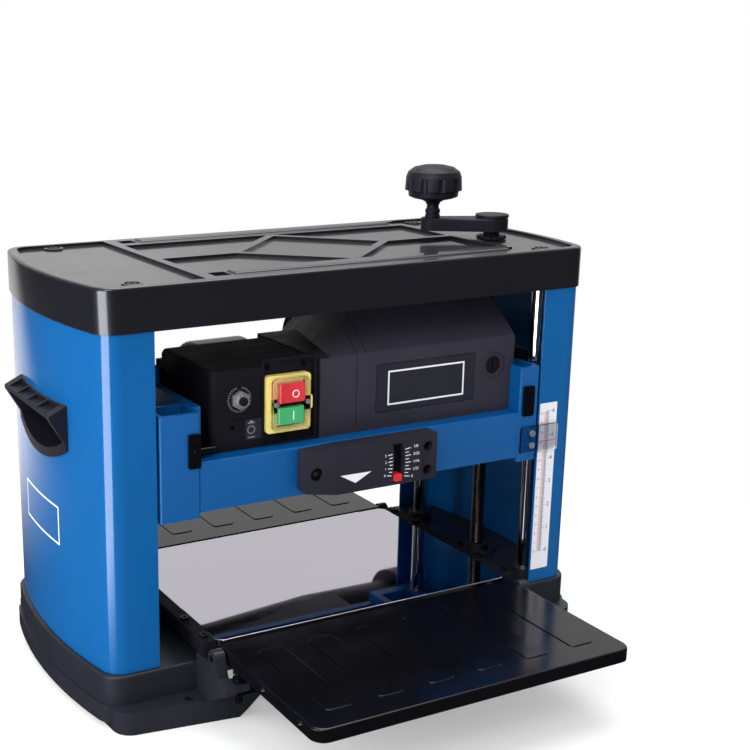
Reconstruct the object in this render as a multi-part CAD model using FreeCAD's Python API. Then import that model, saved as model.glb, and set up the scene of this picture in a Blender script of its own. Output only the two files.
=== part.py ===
import FreeCAD, Part
import math
import os

# Thickness planer with folding tables. Millimetres, +Z up, X across the machine, boards travel along +Y.
# The origin lies on the floor, midway between the two side shells.

os.makedirs("parts", exist_ok=True)
Vec = FreeCAD.Vector
X_AXIS, Y_AXIS, Z_AXIS = Vec(1, 0, 0), Vec(0, 1, 0), Vec(0, 0, 1)
FAR = 1000.0

# ---- driving dimensions ----
SHELL_GAP = 423.2          # clear width between the two side shells
SHELL_DEPTH = 258.0        # front plane to back plane of the shells
SIDE_CORNER_X = 257.0      # outer side of the shells at their front and back corners
SIDE_BULGE = 17.0          # extra width of the bowed sides at mid depth
CORNER_R = 20.0
SHEET = 2.0                # sheet steel thickness of shells and tables
BACK_RETURN_CUT = 10.0     # how much narrower the shells' back panels are than the front ones
FOOT_TOP = 22.0            # height of the bolt-down feet
DECK_TOP = 50.6            # top of the base, where the shells stand
SHELL_TOP = 363.5
COVER_TOP = 403.7
BED_TOP = 75.0
BED_FRONT, BED_BACK = -151.0, 79.0
BED_HALF_WIDTH = 164.0
TABLE_HALF_WIDTH = 165.0
TABLE_LENGTH = 174.0
TABLE_GAP = 6.0            # from the bed edge to the near edge of a table
HINGE_BACKSET = 8.0        # from a table's near edge to its hinge axis
HINGE_Z = 67.0
CUT_HEIGHT = 114.3         # bed to cutting circle, with the carriage as drawn
COLUMN_X, COLUMN_R = 220.0, 8.0
COLUMN_FRONT_Y, COLUMN_BACK_Y = -110.0, 82.0
SCREW_Y, SCREW_R = -27.0, 7.0
RUNNING = 0.05             # radial clearance of every turning or sliding fit
CUTTER_Y, CUTTER_R = -18.0, 26.0
CHEEK_IN, CHEEK_OUT = 161.0, 170.0
MOTOR_Y, MOTOR_Z = -5.0, 288.0
ARMATURE_R = 6.0
COVER_FRONT_Y = -112.0     # front face of the switch and motor housings
BEAM_FRONT_Y = -130.0      # front face of the carriage beam and end blocks

# ---- derived values ----
HALF_GAP = SHELL_GAP / 2
HALF_DEPTH = SHELL_DEPTH / 2
CUT_Z = BED_TOP + CUT_HEIGHT
CUTTER_Z = CUT_Z + CUTTER_R
BLOCK_BOTTOM = CUT_Z - 1.3
BLOCK_TOP = BLOCK_BOTTOM + 98.6
BEAM_BOTTOM, BEAM_TOP = CUT_Z + 3.7, CUT_Z + 50.7
RAIL_TOP = BLOCK_BOTTOM + 44.0
INFEED_HINGE_Y = BED_FRONT - TABLE_GAP - HINGE_BACKSET
OUTFEED_HINGE_Y = BED_BACK + TABLE_GAP + HINGE_BACKSET
SCALE_ZERO_Z = 84.8
KNOB_X, KNOB_Y = 166.0, 4.0
ARM_BOTTOM = 410.0
ARM_TOP = 423.0
PIVOT_PIN_R = 3.0


# ---- small shape helpers ----
def box(x0, x1, y0, y1, z0, z1):
    return Part.makeBox(x1 - x0, y1 - y0, z1 - z0, Vec(x0, y0, z0))


def cyl(radius, x, y, z, axis, length):
    return Part.makeCylinder(radius, length, Vec(x, y, z), axis)


def ring(outer, inner, x, y, z, axis, length):
    return cyl(outer, x, y, z, axis, length).cut(cyl(inner, x, y, z, axis, length))


def prism_x(points, x0, x1):
    """Extrude a (y, z) outline from x0 to x1."""
    wire = Part.makePolygon([Vec(x0, y, z) for y, z in points + points[:1]])
    return Part.Face(wire).extrude(Vec(x1 - x0, 0, 0))


def prism_y(points, y0, y1):
    """Extrude an (x, z) outline from y0 to y1."""
    wire = Part.makePolygon([Vec(x, y0, z) for x, z in points + points[:1]])
    return Part.Face(wire).extrude(Vec(0, y1 - y0, 0))


def prism_z(points, z0, z1):
    """Extrude an (x, y) outline from z0 to z1."""
    wire = Part.makePolygon([Vec(x, y, z0) for x, y in points + points[:1]])
    return Part.Face(wire).extrude(Vec(0, 0, z1 - z0))


def revolve_z(points, x, y):
    """Turn an (r, z) outline about the vertical line through x, y."""
    wire = Part.makePolygon([Vec(x + r, y, z) for r, z in points + points[:1]])
    return Part.Face(wire).revolve(Vec(x, y, 0), Z_AXIS, 360)


def fuse(first, *others):
    return first.fuse(list(others)).removeSplitter()


def cut(body, *tools):
    return body.cut(list(tools))


def mirror_x(shape):
    return shape.mirror(Vec(0, 0, 0), X_AXIS)


def mirror_y(shape):
    return shape.mirror(Vec(0, 0, 0), Y_AXIS)


def upright_edges(shape, keep):
    """Vertical straight edges whose middle point passes the test."""
    found = []
    for edge in shape.Edges:
        span = edge.BoundBox
        if span.XLength < 1e-4 and span.YLength < 1e-4 and keep(edge.CenterOfMass):
            found.append(edge)
    return found


def level_edges(shape, z):
    """Edges that lie wholly at one height."""
    return [e for e in shape.Edges if abs(e.BoundBox.ZMin - z) < 1e-4 and abs(e.BoundBox.ZMax - z) < 1e-4]


def rounded(shape, radius, edges):
    return shape.makeFillet(radius, edges) if edges else shape


def rounded_box_y(x0, x1, y0, y1, z0, z1, radius):
    """Box whose four edges along Y are rounded."""
    body = box(x0, x1, y0, y1, z0, z1)
    edges = [e for e in body.Edges if e.BoundBox.YLength > y1 - y0 - 1e-4]
    return body.makeFillet(radius, edges)


def rounded_box_z(x0, x1, y0, y1, z0, z1, radius):
    """Box whose four upright edges are rounded."""
    body = box(x0, x1, y0, y1, z0, z1)
    return body.makeFillet(radius, upright_edges(body, lambda p: True))


def hexagon_z(radius, x, y, z0, z1):
    corners = [(x + radius * math.cos(math.radians(a)), y + radius * math.sin(math.radians(a)))
               for a in range(0, 360, 60)]
    return prism_z(corners, z0, z1)


def hexagon_y(radius, x, z, y0, y1):
    corners = [(x + radius * math.cos(math.radians(a)), z + radius * math.sin(math.radians(a)))
               for a in range(30, 390, 60)]
    return prism_y(corners, y0, y1)


def compound(shapes):
    return Part.makeCompound(shapes)


def plan_prism(grow, z0, z1):
    """Plan outline shared by shells, cover and base: straight front and back, bowed sides."""
    side, depth = SIDE_CORNER_X + grow, HALF_DEPTH + grow
    middle = SIDE_CORNER_X + SIDE_BULGE + grow
    corners = [Vec(-side, -depth, z0), Vec(side, -depth, z0), Vec(side, depth, z0), Vec(-side, depth, z0)]
    edges = [Part.makeLine(corners[0], corners[1]),
             Part.Arc(corners[1], Vec(middle, 0, z0), corners[2]).toShape(),
             Part.makeLine(corners[2], corners[3]),
             Part.Arc(corners[3], Vec(-middle, 0, z0), corners[0]).toShape()]
    body = Part.Face(Part.Wire(edges)).extrude(Vec(0, 0, z1 - z0))
    return body.makeFillet(CORNER_R + grow, upright_edges(body, lambda p: True))


def hull_of_circles(first, first_r, second, second_r, make_prism, make_round):
    """Solid around two parallel rollers: both rounds and the tangent panel between them."""
    dx, dy = second[0] - first[0], second[1] - first[1]
    lean = math.acos((first_r - second_r) / math.hypot(dx, dy))
    heading = math.atan2(dy, dx)
    corners = []
    for centre, radius, side in ((first, first_r, 1), (second, second_r, 1),
                                 (second, second_r, -1), (first, first_r, -1)):
        angle = heading + side * lean
        corners.append((centre[0] + radius * math.cos(angle), centre[1] + radius * math.sin(angle)))
    return fuse(make_round(first, first_r), make_round(second, second_r), make_prism(corners))


# ---- base ----
MOUNT_HOLE_X, MOUNT_HOLE_Y, MOUNT_HOLE_R = 190.0, 146.0, 5.0
PLATFORM_HALF_WIDTH = 158.0
BED_THICK = 6.0
BED_UNDERSIDE = BED_TOP - BED_THICK
COLLAR_TOP = 62.0


def foot():
    """Front left foot: rounded outer corner, front edge that runs forward, undercut inner end."""
    outline = [(-263, -96), (-259, -147), (-139, -163), (-124, -163), (-124, -96)]
    body = prism_z(outline, 0, FOOT_TOP)
    body = rounded(body, 18, upright_edges(body, lambda p: p.x < -250 and p.y < -120))
    undercut = prism_y([(-148, -1), (-124, FOOT_TOP - 2), (-123, FOOT_TOP - 2), (-123, -1)], -FAR, FAR)
    return body.cut(undercut)


def base_casting():
    rim = plan_prism(4, FOOT_TOP, DECK_TOP)
    rim = rounded(rim, 2.5, level_edges(rim, DECK_TOP))
    skirt = plan_prism(6, 5, FOOT_TOP)
    front_left = foot()
    feet = [front_left, mirror_x(front_left), mirror_y(front_left), mirror_x(mirror_y(front_left))]
    platform = box(-PLATFORM_HALF_WIDTH, PLATFORM_HALF_WIDTH, BED_FRONT + 3, BED_BACK - 3, 42, BED_UNDERSIDE)
    body = fuse(rim, skirt, platform, *feet)
    wall, deck = 8.0, 8.0
    hollow = plan_prism(4 - wall, -1, DECK_TOP - deck)
    under_bed = box(-150, 150, BED_FRONT + 10, BED_BACK - 10, -1, BED_UNDERSIDE - 6)
    body = cut(body, hollow, under_bed)
    sockets, bores = [], []
    for x in (-COLUMN_X, COLUMN_X):
        for y in (COLUMN_FRONT_Y, COLUMN_BACK_Y):
            sockets.append(cyl(13, x, y, 30, Z_AXIS, COLLAR_TOP - 30))
            bores.append(cyl(COLUMN_R, x, y, 34, Z_AXIS, FAR))
        bores.append(cyl(9, x, SCREW_Y, 20, Z_AXIS, DECK_TOP))
    for x in (-MOUNT_HOLE_X, MOUNT_HOLE_X):
        for y in (-MOUNT_HOLE_Y, MOUNT_HOLE_Y):
            bores.append(cyl(MOUNT_HOLE_R, x, y, -1, Z_AXIS, FOOT_TOP + 2))
    return cut(fuse(body, *sockets), *bores)


def bed_plate():
    body = box(-BED_HALF_WIDTH, BED_HALF_WIDTH, BED_FRONT, BED_BACK, BED_UNDERSIDE, BED_TOP)
    body = body.makeChamfer(6, upright_edges(body, lambda p: True))
    return rounded(body, 1.2, level_edges(body, BED_TOP))


STRIP_SCREW_Y = (-136.0, -94.0, 22.0, 64.0)
STRIP_SCREW_X = 171.0


def bed_side_strips():
    """L-shaped strips that close the sides of the bed platform."""
    ledge = box(PLATFORM_HALF_WIDTH, 177, BED_FRONT + 3, BED_BACK - 3, 61, BED_UNDERSIDE)
    lip = box(BED_HALF_WIDTH + 0.2, 177, BED_FRONT + 3, BED_BACK - 3, BED_UNDERSIDE, BED_TOP)
    strip = fuse(ledge, lip)
    strip = rounded(strip, 2, [e for e in level_edges(strip, BED_TOP) if e.CenterOfMass.x > 176])
    strip = cut(strip, *[cyl(2.5, STRIP_SCREW_X, y, 64, Z_AXIS, FAR) for y in STRIP_SCREW_Y])
    return compound([strip, mirror_x(strip)])


# ---- shells, cover and columns ----
HANDLE_HALF_LENGTH, HANDLE_TOP = 65.0, 293.0
LIP_X, LIP_Z, LIP_THICK = -287.0, 281.0, 3.5
CHEEK_BOTTOM, FLANGE_BOTTOM = 247.0, 229.0
CUP_HALF_LENGTH, CUP_TOP = 58.0, 274.5
CUP_RIM = 9.0              # width of the flange below the finger opening
CUP_WALL = 2.5
CUP_DEPTH_X = -245.0


def arc_below(margin, x0, x1):
    """Disc along X whose lower edge is the handle's rounded bottom, grown by the margin."""
    sagitta = CHEEK_BOTTOM - FLANGE_BOTTOM
    radius = (HANDLE_HALF_LENGTH ** 2 + sagitta ** 2) / (2 * sagitta)
    return cyl(radius + margin, x0, 0, FLANGE_BOTTOM + radius, X_AXIS, x1 - x0)


def cup_prism(margin, x0, x1):
    """Finger opening: flat top, upright ends and rounded bottom, grown by the margin."""
    length = CUP_HALF_LENGTH + margin
    return box(x0, x1, -length, length, 200, CUP_TOP + margin).common(arc_below(margin - CUP_RIM, x0, x1))


def side_shell():
    """Left shell, a bent sheet that is open towards the middle of the machine."""
    body = plan_prism(0, DECK_TOP, SHELL_TOP).cut(plan_prism(-SHEET, DECK_TOP - 1, SHELL_TOP + 1))
    body = body.common(box(-FAR, -HALF_GAP, -FAR, FAR, 0, FAR))
    body = body.cut(box(-HALF_GAP - BACK_RETURN_CUT, 0, 0, FAR, 0, FAR))
    return body.cut(cup_prism(CUP_WALL + 0.5, -FAR, -250))


def handle():
    """Left carry handle: overhanging lip with triangular fins, cheeks, and a finger cup in the shell."""
    root_x, fin, cheek, wall = -262.0, 2.5, 11.0, 1.5
    lip_underside = LIP_Z - LIP_THICK
    profile = [(root_x, HANDLE_TOP), (LIP_X, LIP_Z), (LIP_X, lip_underside), (root_x, CHEEK_BOTTOM - 12)]
    wedge = prism_y(profile, -HANDLE_HALF_LENGTH, HANDLE_HALF_LENGTH)
    wedge = wedge.common(box(-FAR, FAR, -FAR, FAR, CHEEK_BOTTOM - 4, FAR))
    below_lip = box(-FAR, -240, -CUP_HALF_LENGTH, CUP_HALF_LENGTH, 200, lip_underside)
    cells = []
    cell_count = 4
    first_start = cheek - HANDLE_HALF_LENGTH
    pitch = (fin - 2 * first_start) / cell_count
    for index in range(cell_count):
        start = first_start + index * pitch
        cell = prism_y([(LIP_X - 1, LIP_Z), (root_x, LIP_Z + 2), (root_x, FAR), (LIP_X - 1, FAR)],
                       start, start + pitch - fin)
        cells.append(cell.cut(plan_prism(wall, 0, 2 * FAR)))
    flange = plan_prism(2.5, 200, CHEEK_BOTTOM + 20).common(arc_below(0, -FAR, 0))
    flange = flange.common(box(-FAR, -240, -HANDLE_HALF_LENGTH, HANDLE_HALF_LENGTH, 0, FAR))
    outside = fuse(cut(wedge, below_lip, *cells), flange.cut(cup_prism(0, -FAR, 0)))
    outside = outside.cut(plan_prism(0, 0, FAR))
    cup = cup_prism(CUP_WALL, -FAR, CUP_DEPTH_X).common(plan_prism(0, 0, FAR))
    cup = cup.cut(cup_prism(0, -FAR, CUP_DEPTH_X - CUP_WALL))
    return fuse(outside, cup)


LEFT_RIB_X, RIGHT_RIB_X = -155.0, 187.0
RIB_WIDTH = 9.0
COVER_SKIN = 2.5
PANEL_DROP = 3.0
BOSS_R = 9.5               # raised ring around each cover screw
COVER_SCREWS = ((-222.0, -106.0), (220.0, -108.0), (-216.0, 112.0), (216.0, 112.0))


def rib(start, end, z0, z1):
    """Straight bar of the cover's rib network between two plan points."""
    along = Vec(end[0] - start[0], end[1] - start[1], 0)
    across = Vec(-along.y, along.x, 0).normalize() * (RIB_WIDTH / 2)
    corners = [Vec(*start, 0) + across, Vec(*end, 0) + across, Vec(*end, 0) - across, Vec(*start, 0) - across]
    return prism_z([(p.x, p.y) for p in corners], z0, z1)


def cover_rib_network(z0, z1):
    """A diamond of ribs in the middle field, with a stem to each end rib."""
    middle_y, rail_y = -3.0, 84.0
    centre_x = (LEFT_RIB_X + RIGHT_RIB_X) / 2
    left, right = (centre_x - 86, middle_y), (centre_x + 86, middle_y)
    back, front = (centre_x, rail_y), (centre_x, -rail_y)
    lines = [((LEFT_RIB_X, -FAR), (LEFT_RIB_X, FAR)), ((RIGHT_RIB_X, -FAR), (RIGHT_RIB_X, FAR)),
             ((LEFT_RIB_X, middle_y), left), (right, (RIGHT_RIB_X, middle_y)),
             (left, back), (left, front), (right, back), (right, front)]
    bars = [rib(start, end, z0, z1) for start, end in lines]
    for side in (-1, 1):
        near, far = sorted((side * 86, side * 126))
        bars.append(box(LEFT_RIB_X, RIGHT_RIB_X, near, far, z0, z1))
    return fuse(*bars)


def top_cover():
    body = plan_prism(2, SHELL_TOP, COVER_TOP)
    body = rounded(body, 3, level_edges(body, COVER_TOP))
    field = plan_prism(-6, COVER_TOP - PANEL_DROP, COVER_TOP + 1)
    field = field.cut(cover_rib_network(COVER_TOP - PANEL_DROP - 1, COVER_TOP + 2))
    body = body.cut(field)
    body = body.cut(plan_prism(-0.5, SHELL_TOP - 1, COVER_TOP - PANEL_DROP - COVER_SKIN))
    rails, pockets = [], []    # raised rails and screw bosses, and the pockets beside the rails
    for side in (-1, 1):
        rail_y = side * 107
        rail = box(-128, 176, rail_y - 9, rail_y + 9, COVER_TOP - 2, COVER_TOP + 2)
        rail = rounded(rail, 3.5, level_edges(rail, COVER_TOP + 2))
        rails.append(rail)
        for x in (-147, 179):
            pockets.append(box(x, x + 16, rail_y - 9, rail_y + 9, COVER_TOP - 2.5, COVER_TOP + 1))
    holes = [cyl(10, COLUMN_X, SCREW_Y, SHELL_TOP, Z_AXIS, FAR)]
    for x, y in COVER_SCREWS:
        holes.append(cyl(2.6, x, y, SHELL_TOP, Z_AXIS, FAR))
        holes.append(cyl(7, x, y, COVER_TOP - PANEL_DROP - 1, Z_AXIS, 20))
        rails.append(cyl(BOSS_R, x, y, COVER_TOP - PANEL_DROP - 1, Z_AXIS, PANEL_DROP - 0.4))
    return cut(fuse(body, *rails), *(pockets + holes))


PLATE_THICK = 6.0


def column_top_plates():
    slab = plan_prism(-4, SHELL_TOP, SHELL_TOP + PLATE_THICK)
    plate = slab.common(box(196, FAR, -FAR, FAR, 0, FAR))
    holes = [cyl(COLUMN_R, COLUMN_X, y, 0, Z_AXIS, FAR) for y in (COLUMN_FRONT_Y, COLUMN_BACK_Y)]
    holes.append(cyl(SCREW_R + RUNNING, COLUMN_X, SCREW_Y, 0, Z_AXIS, FAR))
    plate = cut(plate, *holes)
    return compound([plate, mirror_x(plate)])


def guide_columns():
    return compound([cyl(COLUMN_R, x, y, 34, Z_AXIS, SHELL_TOP + PLATE_THICK - 34)
                     for x in (-COLUMN_X, COLUMN_X) for y in (COLUMN_FRONT_Y, COLUMN_BACK_Y)])


FLANGE_TOP = 56.0
FLANGE_BOLT_CIRCLE = 17.0
FLANGE_BOLT_ANGLES = (30, 150, 270)


def flange_bolt_places():
    return [(x + FLANGE_BOLT_CIRCLE * math.cos(math.radians(a)),
             SCREW_Y + FLANGE_BOLT_CIRCLE * math.sin(math.radians(a)))
            for x in (-COLUMN_X, COLUMN_X) for a in FLANGE_BOLT_ANGLES]


def screw_bearing_flanges():
    flanges = []
    for x in (-COLUMN_X, COLUMN_X):
        disc = fuse(cyl(22, x, SCREW_Y, DECK_TOP, Z_AXIS, FLANGE_TOP - DECK_TOP),
                    cyl(12, x, SCREW_Y, DECK_TOP, Z_AXIS, 10))
        flanges.append(disc.cut(cyl(SCREW_R + RUNNING, x, SCREW_Y, 0, Z_AXIS, FAR)))
    return compound(flanges)


def cap_screw_z(x, y, z, head_r, head_h, shank_r, shank_len):
    """Socket cap screw that points down, head resting at height z."""
    head = cyl(head_r, x, y, z, Z_AXIS, head_h)
    socket = hexagon_z(head_r * 0.5, x, y, z + head_h * 0.4, z + head_h + 1)
    if not shank_len:
        return head.cut(socket)
    return fuse(head, cyl(shank_r, x, y, z - shank_len, Z_AXIS, shank_len)).cut(socket)


def cap_screw_y(x, y, z, head_r, head_h, shank_r, shank_len):
    """Socket cap screw that points to the back, head resting at depth y."""
    head = cyl(head_r, x, y - head_h, z, Y_AXIS, head_h)
    socket = hexagon_y(head_r * 0.5, x, z, y - head_h - 1, y - head_h * 0.4)
    if not shank_len:
        return head.cut(socket)
    return fuse(head, cyl(shank_r, x, y, z, Y_AXIS, shank_len)).cut(socket)


def frame_screws():
    screws = []
    for x in (-STRIP_SCREW_X, STRIP_SCREW_X):
        for y in STRIP_SCREW_Y:
            screws.append(cap_screw_z(x, y, BED_TOP, 4.2, 2.8, 2.5, 8))
    for x, y in flange_bolt_places():
        screws.append(cap_screw_z(x, y, FLANGE_TOP, 3.2, 3.5, 0, 0))
    panel_z = COVER_TOP - PANEL_DROP - 1
    for x, y in COVER_SCREWS:
        screws.append(cap_screw_z(x, y, panel_z, 4.5, 2.6, 2.6, panel_z - SHELL_TOP - PLATE_THICK))
    return compound(screws)


# ---- height screws ----
SPROCKET_Z, SPROCKET_R = 14.0, 16.0
SCREW_BOTTOM = 12.0


CRANK_SHAFT_R, KNOB_STUB_R = 6.0, 4.0
HUB_RISE = 1.0             # boss above the arm's upper face


def right_lead_screw():
    """Screw with a thinner top shaft that carries the crank."""
    screw = cyl(SCREW_R, COLUMN_X, SCREW_Y, SCREW_BOTTOM, Z_AXIS, SHELL_TOP + PLATE_THICK + 1 - SCREW_BOTTOM)
    shaft = cyl(CRANK_SHAFT_R, COLUMN_X, SCREW_Y, SCREW_BOTTOM, Z_AXIS, ARM_TOP - SCREW_BOTTOM)
    return fuse(screw, shaft)


def left_lead_screw():
    return cyl(SCREW_R, -COLUMN_X, SCREW_Y, SCREW_BOTTOM, Z_AXIS, SHELL_TOP + PLATE_THICK + 1 - SCREW_BOTTOM)


def sprocket(x):
    """Small chain wheel with a hub; its tooth gaps are shallow."""
    teeth = 16
    hub = cyl(11, x, SCREW_Y, SPROCKET_Z, Z_AXIS, 14)
    wheel = fuse(cyl(SPROCKET_R, x, SCREW_Y, SPROCKET_Z, Z_AXIS, 6), hub)
    gaps = []
    for index in range(teeth):
        angle = 2 * math.pi * index / teeth
        reach = SPROCKET_R + 0.6
        gaps.append(cyl(2, x + reach * math.cos(angle), SCREW_Y + reach * math.sin(angle), 0, Z_AXIS, FAR))
    return cut(wheel, cyl(SCREW_R, x, SCREW_Y, 0, Z_AXIS, FAR), *gaps)


def sync_chain():
    """Chain loop around both sprockets, drawn as one smooth band."""
    def loop(radius, z0, z1):
        rounds = [cyl(radius, x, SCREW_Y, z0, Z_AXIS, z1 - z0) for x in (-COLUMN_X, COLUMN_X)]
        return fuse(box(-COLUMN_X, COLUMN_X, SCREW_Y - radius, SCREW_Y + radius, z0, z1), *rounds)
    return loop(SPROCKET_R + 4, SPROCKET_Z + 0.5, SPROCKET_Z + 5.5).cut(
        loop(SPROCKET_R + 0.15, SPROCKET_Z - 1, SPROCKET_Z + 7))


def crank_arm():
    """Tapered arm from the screw hub to the knob, on a collar with a lobed disc close above the cover."""
    hub, end = (COLUMN_X, SCREW_Y), (KNOB_X, KNOB_Y)
    hub_r, end_r, disc_r, lobes = 17.0, 12.0, 15.5, 6
    arm = hull_of_circles(hub, hub_r, end, end_r,
                          lambda corners: prism_z(corners, ARM_BOTTOM, ARM_TOP),
                          lambda c, r: cyl(r, c[0], c[1], ARM_BOTTOM, Z_AXIS, ARM_TOP - ARM_BOTTOM))
    arm = rounded(arm, 1.5, level_edges(arm, ARM_TOP))
    disc_bottom = COVER_TOP - PANEL_DROP + 0.8
    boss = cyl(hub_r - 0.5, *hub, ARM_BOTTOM, Z_AXIS, ARM_TOP + HUB_RISE - ARM_BOTTOM)
    collar = cyl(8.5, *hub, disc_bottom, Z_AXIS, ARM_BOTTOM - disc_bottom)
    disc = cyl(disc_r, *hub, disc_bottom, Z_AXIS, 3)
    notches = []
    for index in range(lobes):
        angle = 2 * math.pi * index / lobes
        notches.append(cyl(3.5, hub[0] + (disc_r + 1.5) * math.cos(angle),
                           hub[1] + (disc_r + 1.5) * math.sin(angle), disc_bottom, Z_AXIS, 3))
    body = fuse(arm, boss, collar, disc.cut(notches))
    shaft_hole = cyl(CRANK_SHAFT_R, *hub, 0, Z_AXIS, ARM_TOP)
    knob_hole = cyl(KNOB_STUB_R, *end, ARM_BOTTOM - 1, Z_AXIS, FAR)
    return cut(body, shaft_hole, knob_hole)


def crank_hub_cap():
    bottom, thick = ARM_TOP + HUB_RISE, 3.0
    cap = cyl(17.4, COLUMN_X, SCREW_Y, bottom, Z_AXIS, thick)
    return rounded(cap, 1.2, level_edges(cap, bottom + thick))


def crank_knob():
    """Mushroom knob with finger flutes and a grooved, waisted neck; its stub turns in the arm."""
    neck = [(0, 0.2), (7.8, 0.2), (7.8, 3), (7, 3.6), (7, 4.6), (7.8, 5.2), (7.8, 8), (6.4, 10), (6.2, 13)]
    cap = [(8.2, 16.5), (12, 18.5), (21, 20.5), (25.6, 22.5), (26.2, 28), (29.8, 29), (29, 42), (26.8, 48),
           (20.5, 52.5), (11, 54.7), (0, 55)]
    knob = revolve_z([(r, ARM_TOP + z) for r, z in neck + cap], KNOB_X, KNOB_Y)
    flutes, flute_count, flute_reach = [], 10, 31.0
    for index in range(flute_count):
        angle = 2 * math.pi * index / flute_count
        x = KNOB_X + flute_reach * math.cos(angle)
        y = KNOB_Y + flute_reach * math.sin(angle)
        flutes.append(cyl(4.2, x, y, ARM_TOP + 27, Z_AXIS, 15))
    stub = cyl(KNOB_STUB_R - RUNNING, KNOB_X, KNOB_Y, ARM_BOTTOM, Z_AXIS, ARM_TOP + 1 - ARM_BOTTOM)
    return fuse(cut(knob, *flutes), stub)


# ---- carriage ----
ROLLER_R = 14.0
ROLLER_Z = CUT_Z - 0.8 + ROLLER_R
INFEED_ROLLER_Y, OUTFEED_ROLLER_Y = -74.0, 42.0
JOURNAL_R = 8.5
PAWL_Y, PAWL_Z, PAWL_SHAFT_R = -103.0, 228.0, 4.0
BUSH_R = 10.5
NUT_R = 13.0
LEFT_BLOCK_IN, RIGHT_BLOCK_IN, BLOCK_OUT = -170.0, 186.0, 209.0


def end_block(x0, x1):
    """Front corner block with an open pocket in its top."""
    block = box(x0, x1, BEAM_FRONT_Y, -94, BLOCK_BOTTOM, BLOCK_TOP)
    edges = upright_edges(block, lambda p: p.y < -120)
    block = rounded(block, 2, edges)
    return block.cut(box(x0 + 4, x1 - 4, BEAM_FRONT_Y + 4, -98, BLOCK_TOP - 24, BLOCK_TOP + 1))


def carriage_casting():
    left_block = end_block(-BLOCK_OUT, LEFT_BLOCK_IN)
    right_block = end_block(RIGHT_BLOCK_IN, BLOCK_OUT)
    beam = box(LEFT_BLOCK_IN, RIGHT_BLOCK_IN, BEAM_FRONT_Y + 0.6, COVER_FRONT_Y, BEAM_BOTTOM, BEAM_TOP)
    beam = rounded(beam, 2, [e for e in level_edges(beam, BEAM_TOP) if e.BoundBox.YMax < BEAM_FRONT_Y + 1])
    left_cheek = box(-CHEEK_OUT, -CHEEK_IN, COVER_FRONT_Y, 97, BLOCK_BOTTOM, BLOCK_TOP)
    right_cheek = box(CHEEK_IN, CHEEK_OUT, COVER_FRONT_Y, 97, BLOCK_BOTTOM, CUTTER_Z + 27)
    back_beam = box(-CHEEK_OUT, CHEEK_OUT, 88, 97, BLOCK_BOTTOM + 12, BLOCK_BOTTOM + 70)
    shaft_boss = cyl(MOTOR_BEARING_R + 5, -CHEEK_OUT, MOTOR_Y, MOTOR_Z, X_AXIS, CHEEK_OUT - CHEEK_IN)
    pieces = [right_block, beam, left_cheek, right_cheek, back_beam, shaft_boss]
    bores = []
    for side in (-1, 1):
        low, high = sorted((side * 205, side * 240))
        rail = rounded_box_z(low, high, -124, 98, BLOCK_BOTTOM, RAIL_TOP, 6)
        low, high = sorted((side * CHEEK_IN, side * 208))
        front_web = box(low, high, COVER_FRONT_Y, -94, BLOCK_BOTTOM, RAIL_TOP)
        back_web = box(low, high, 84, 97, BLOCK_BOTTOM, RAIL_TOP)
        pieces += [rail, front_web, back_web]
        for y in (COLUMN_FRONT_Y, COLUMN_BACK_Y):
            bores.append(cyl(BUSH_R, side * COLUMN_X, y, 0, Z_AXIS, FAR))
        bores.append(cyl(NUT_R, side * COLUMN_X, SCREW_Y, 0, Z_AXIS, FAR))
    bores.append(cyl(17.5, -FAR / 2, CUTTER_Y, CUTTER_Z, X_AXIS, FAR / 2 - 150))
    bores.append(cyl(17.5, 150, CUTTER_Y, CUTTER_Z, X_AXIS, 25))
    for y in (INFEED_ROLLER_Y, OUTFEED_ROLLER_Y):
        for side in (-1, 1):
            low, high = sorted((side * (CHEEK_IN - 1), side * (CHEEK_OUT + 1)))
            bores.append(box(low, high, y - 12, y + 12, ROLLER_Z - 12, ROLLER_Z + 12))
    bores.append(cyl(PAWL_SHAFT_R, -CHEEK_OUT, PAWL_Y, PAWL_Z, X_AXIS, 2 * CHEEK_OUT))
    bores.append(cyl(MOTOR_BEARING_R, -CHEEK_OUT - 1, MOTOR_Y, MOTOR_Z, X_AXIS, 12))
    bores.append(box(CHEEK_IN - 1, MOTOR_RIGHT + 0.5, COVER_FRONT_Y - 0.4, 60, HOUSING_BOTTOM - 0.3, FAR))
    bores.append(box(-144, 144, 87, 98, DUCT_BOTTOM + HOOD_WALL, DUCT_TOP - HOOD_WALL))
    return cut(fuse(left_block, *pieces), *bores)


def carriage_bushings():
    return compound([ring(BUSH_R, COLUMN_R + RUNNING, x, y, BLOCK_BOTTOM, Z_AXIS, RAIL_TOP - BLOCK_BOTTOM)
                     for x in (-COLUMN_X, COLUMN_X) for y in (COLUMN_FRONT_Y, COLUMN_BACK_Y)])


def lead_screw_nuts():
    return compound([ring(NUT_R, SCREW_R + RUNNING, x, SCREW_Y, BLOCK_BOTTOM, Z_AXIS, RAIL_TOP - BLOCK_BOTTOM)
                     for x in (-COLUMN_X, COLUMN_X)])


MOTOR_LEFT, MOTOR_RIGHT = -37.0, 191.0
HOUSING_BOTTOM = BEAM_TOP - 4.5
HOUSING_EDGE_Z = CUT_Z + 127.0
MOTOR_TOP = CUT_Z + 165.0
MOULDING = 3.0
BRUSH_X, BRUSH_Z = 165.0, 288.0
MOTOR_BEARING_R = 12.0


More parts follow.
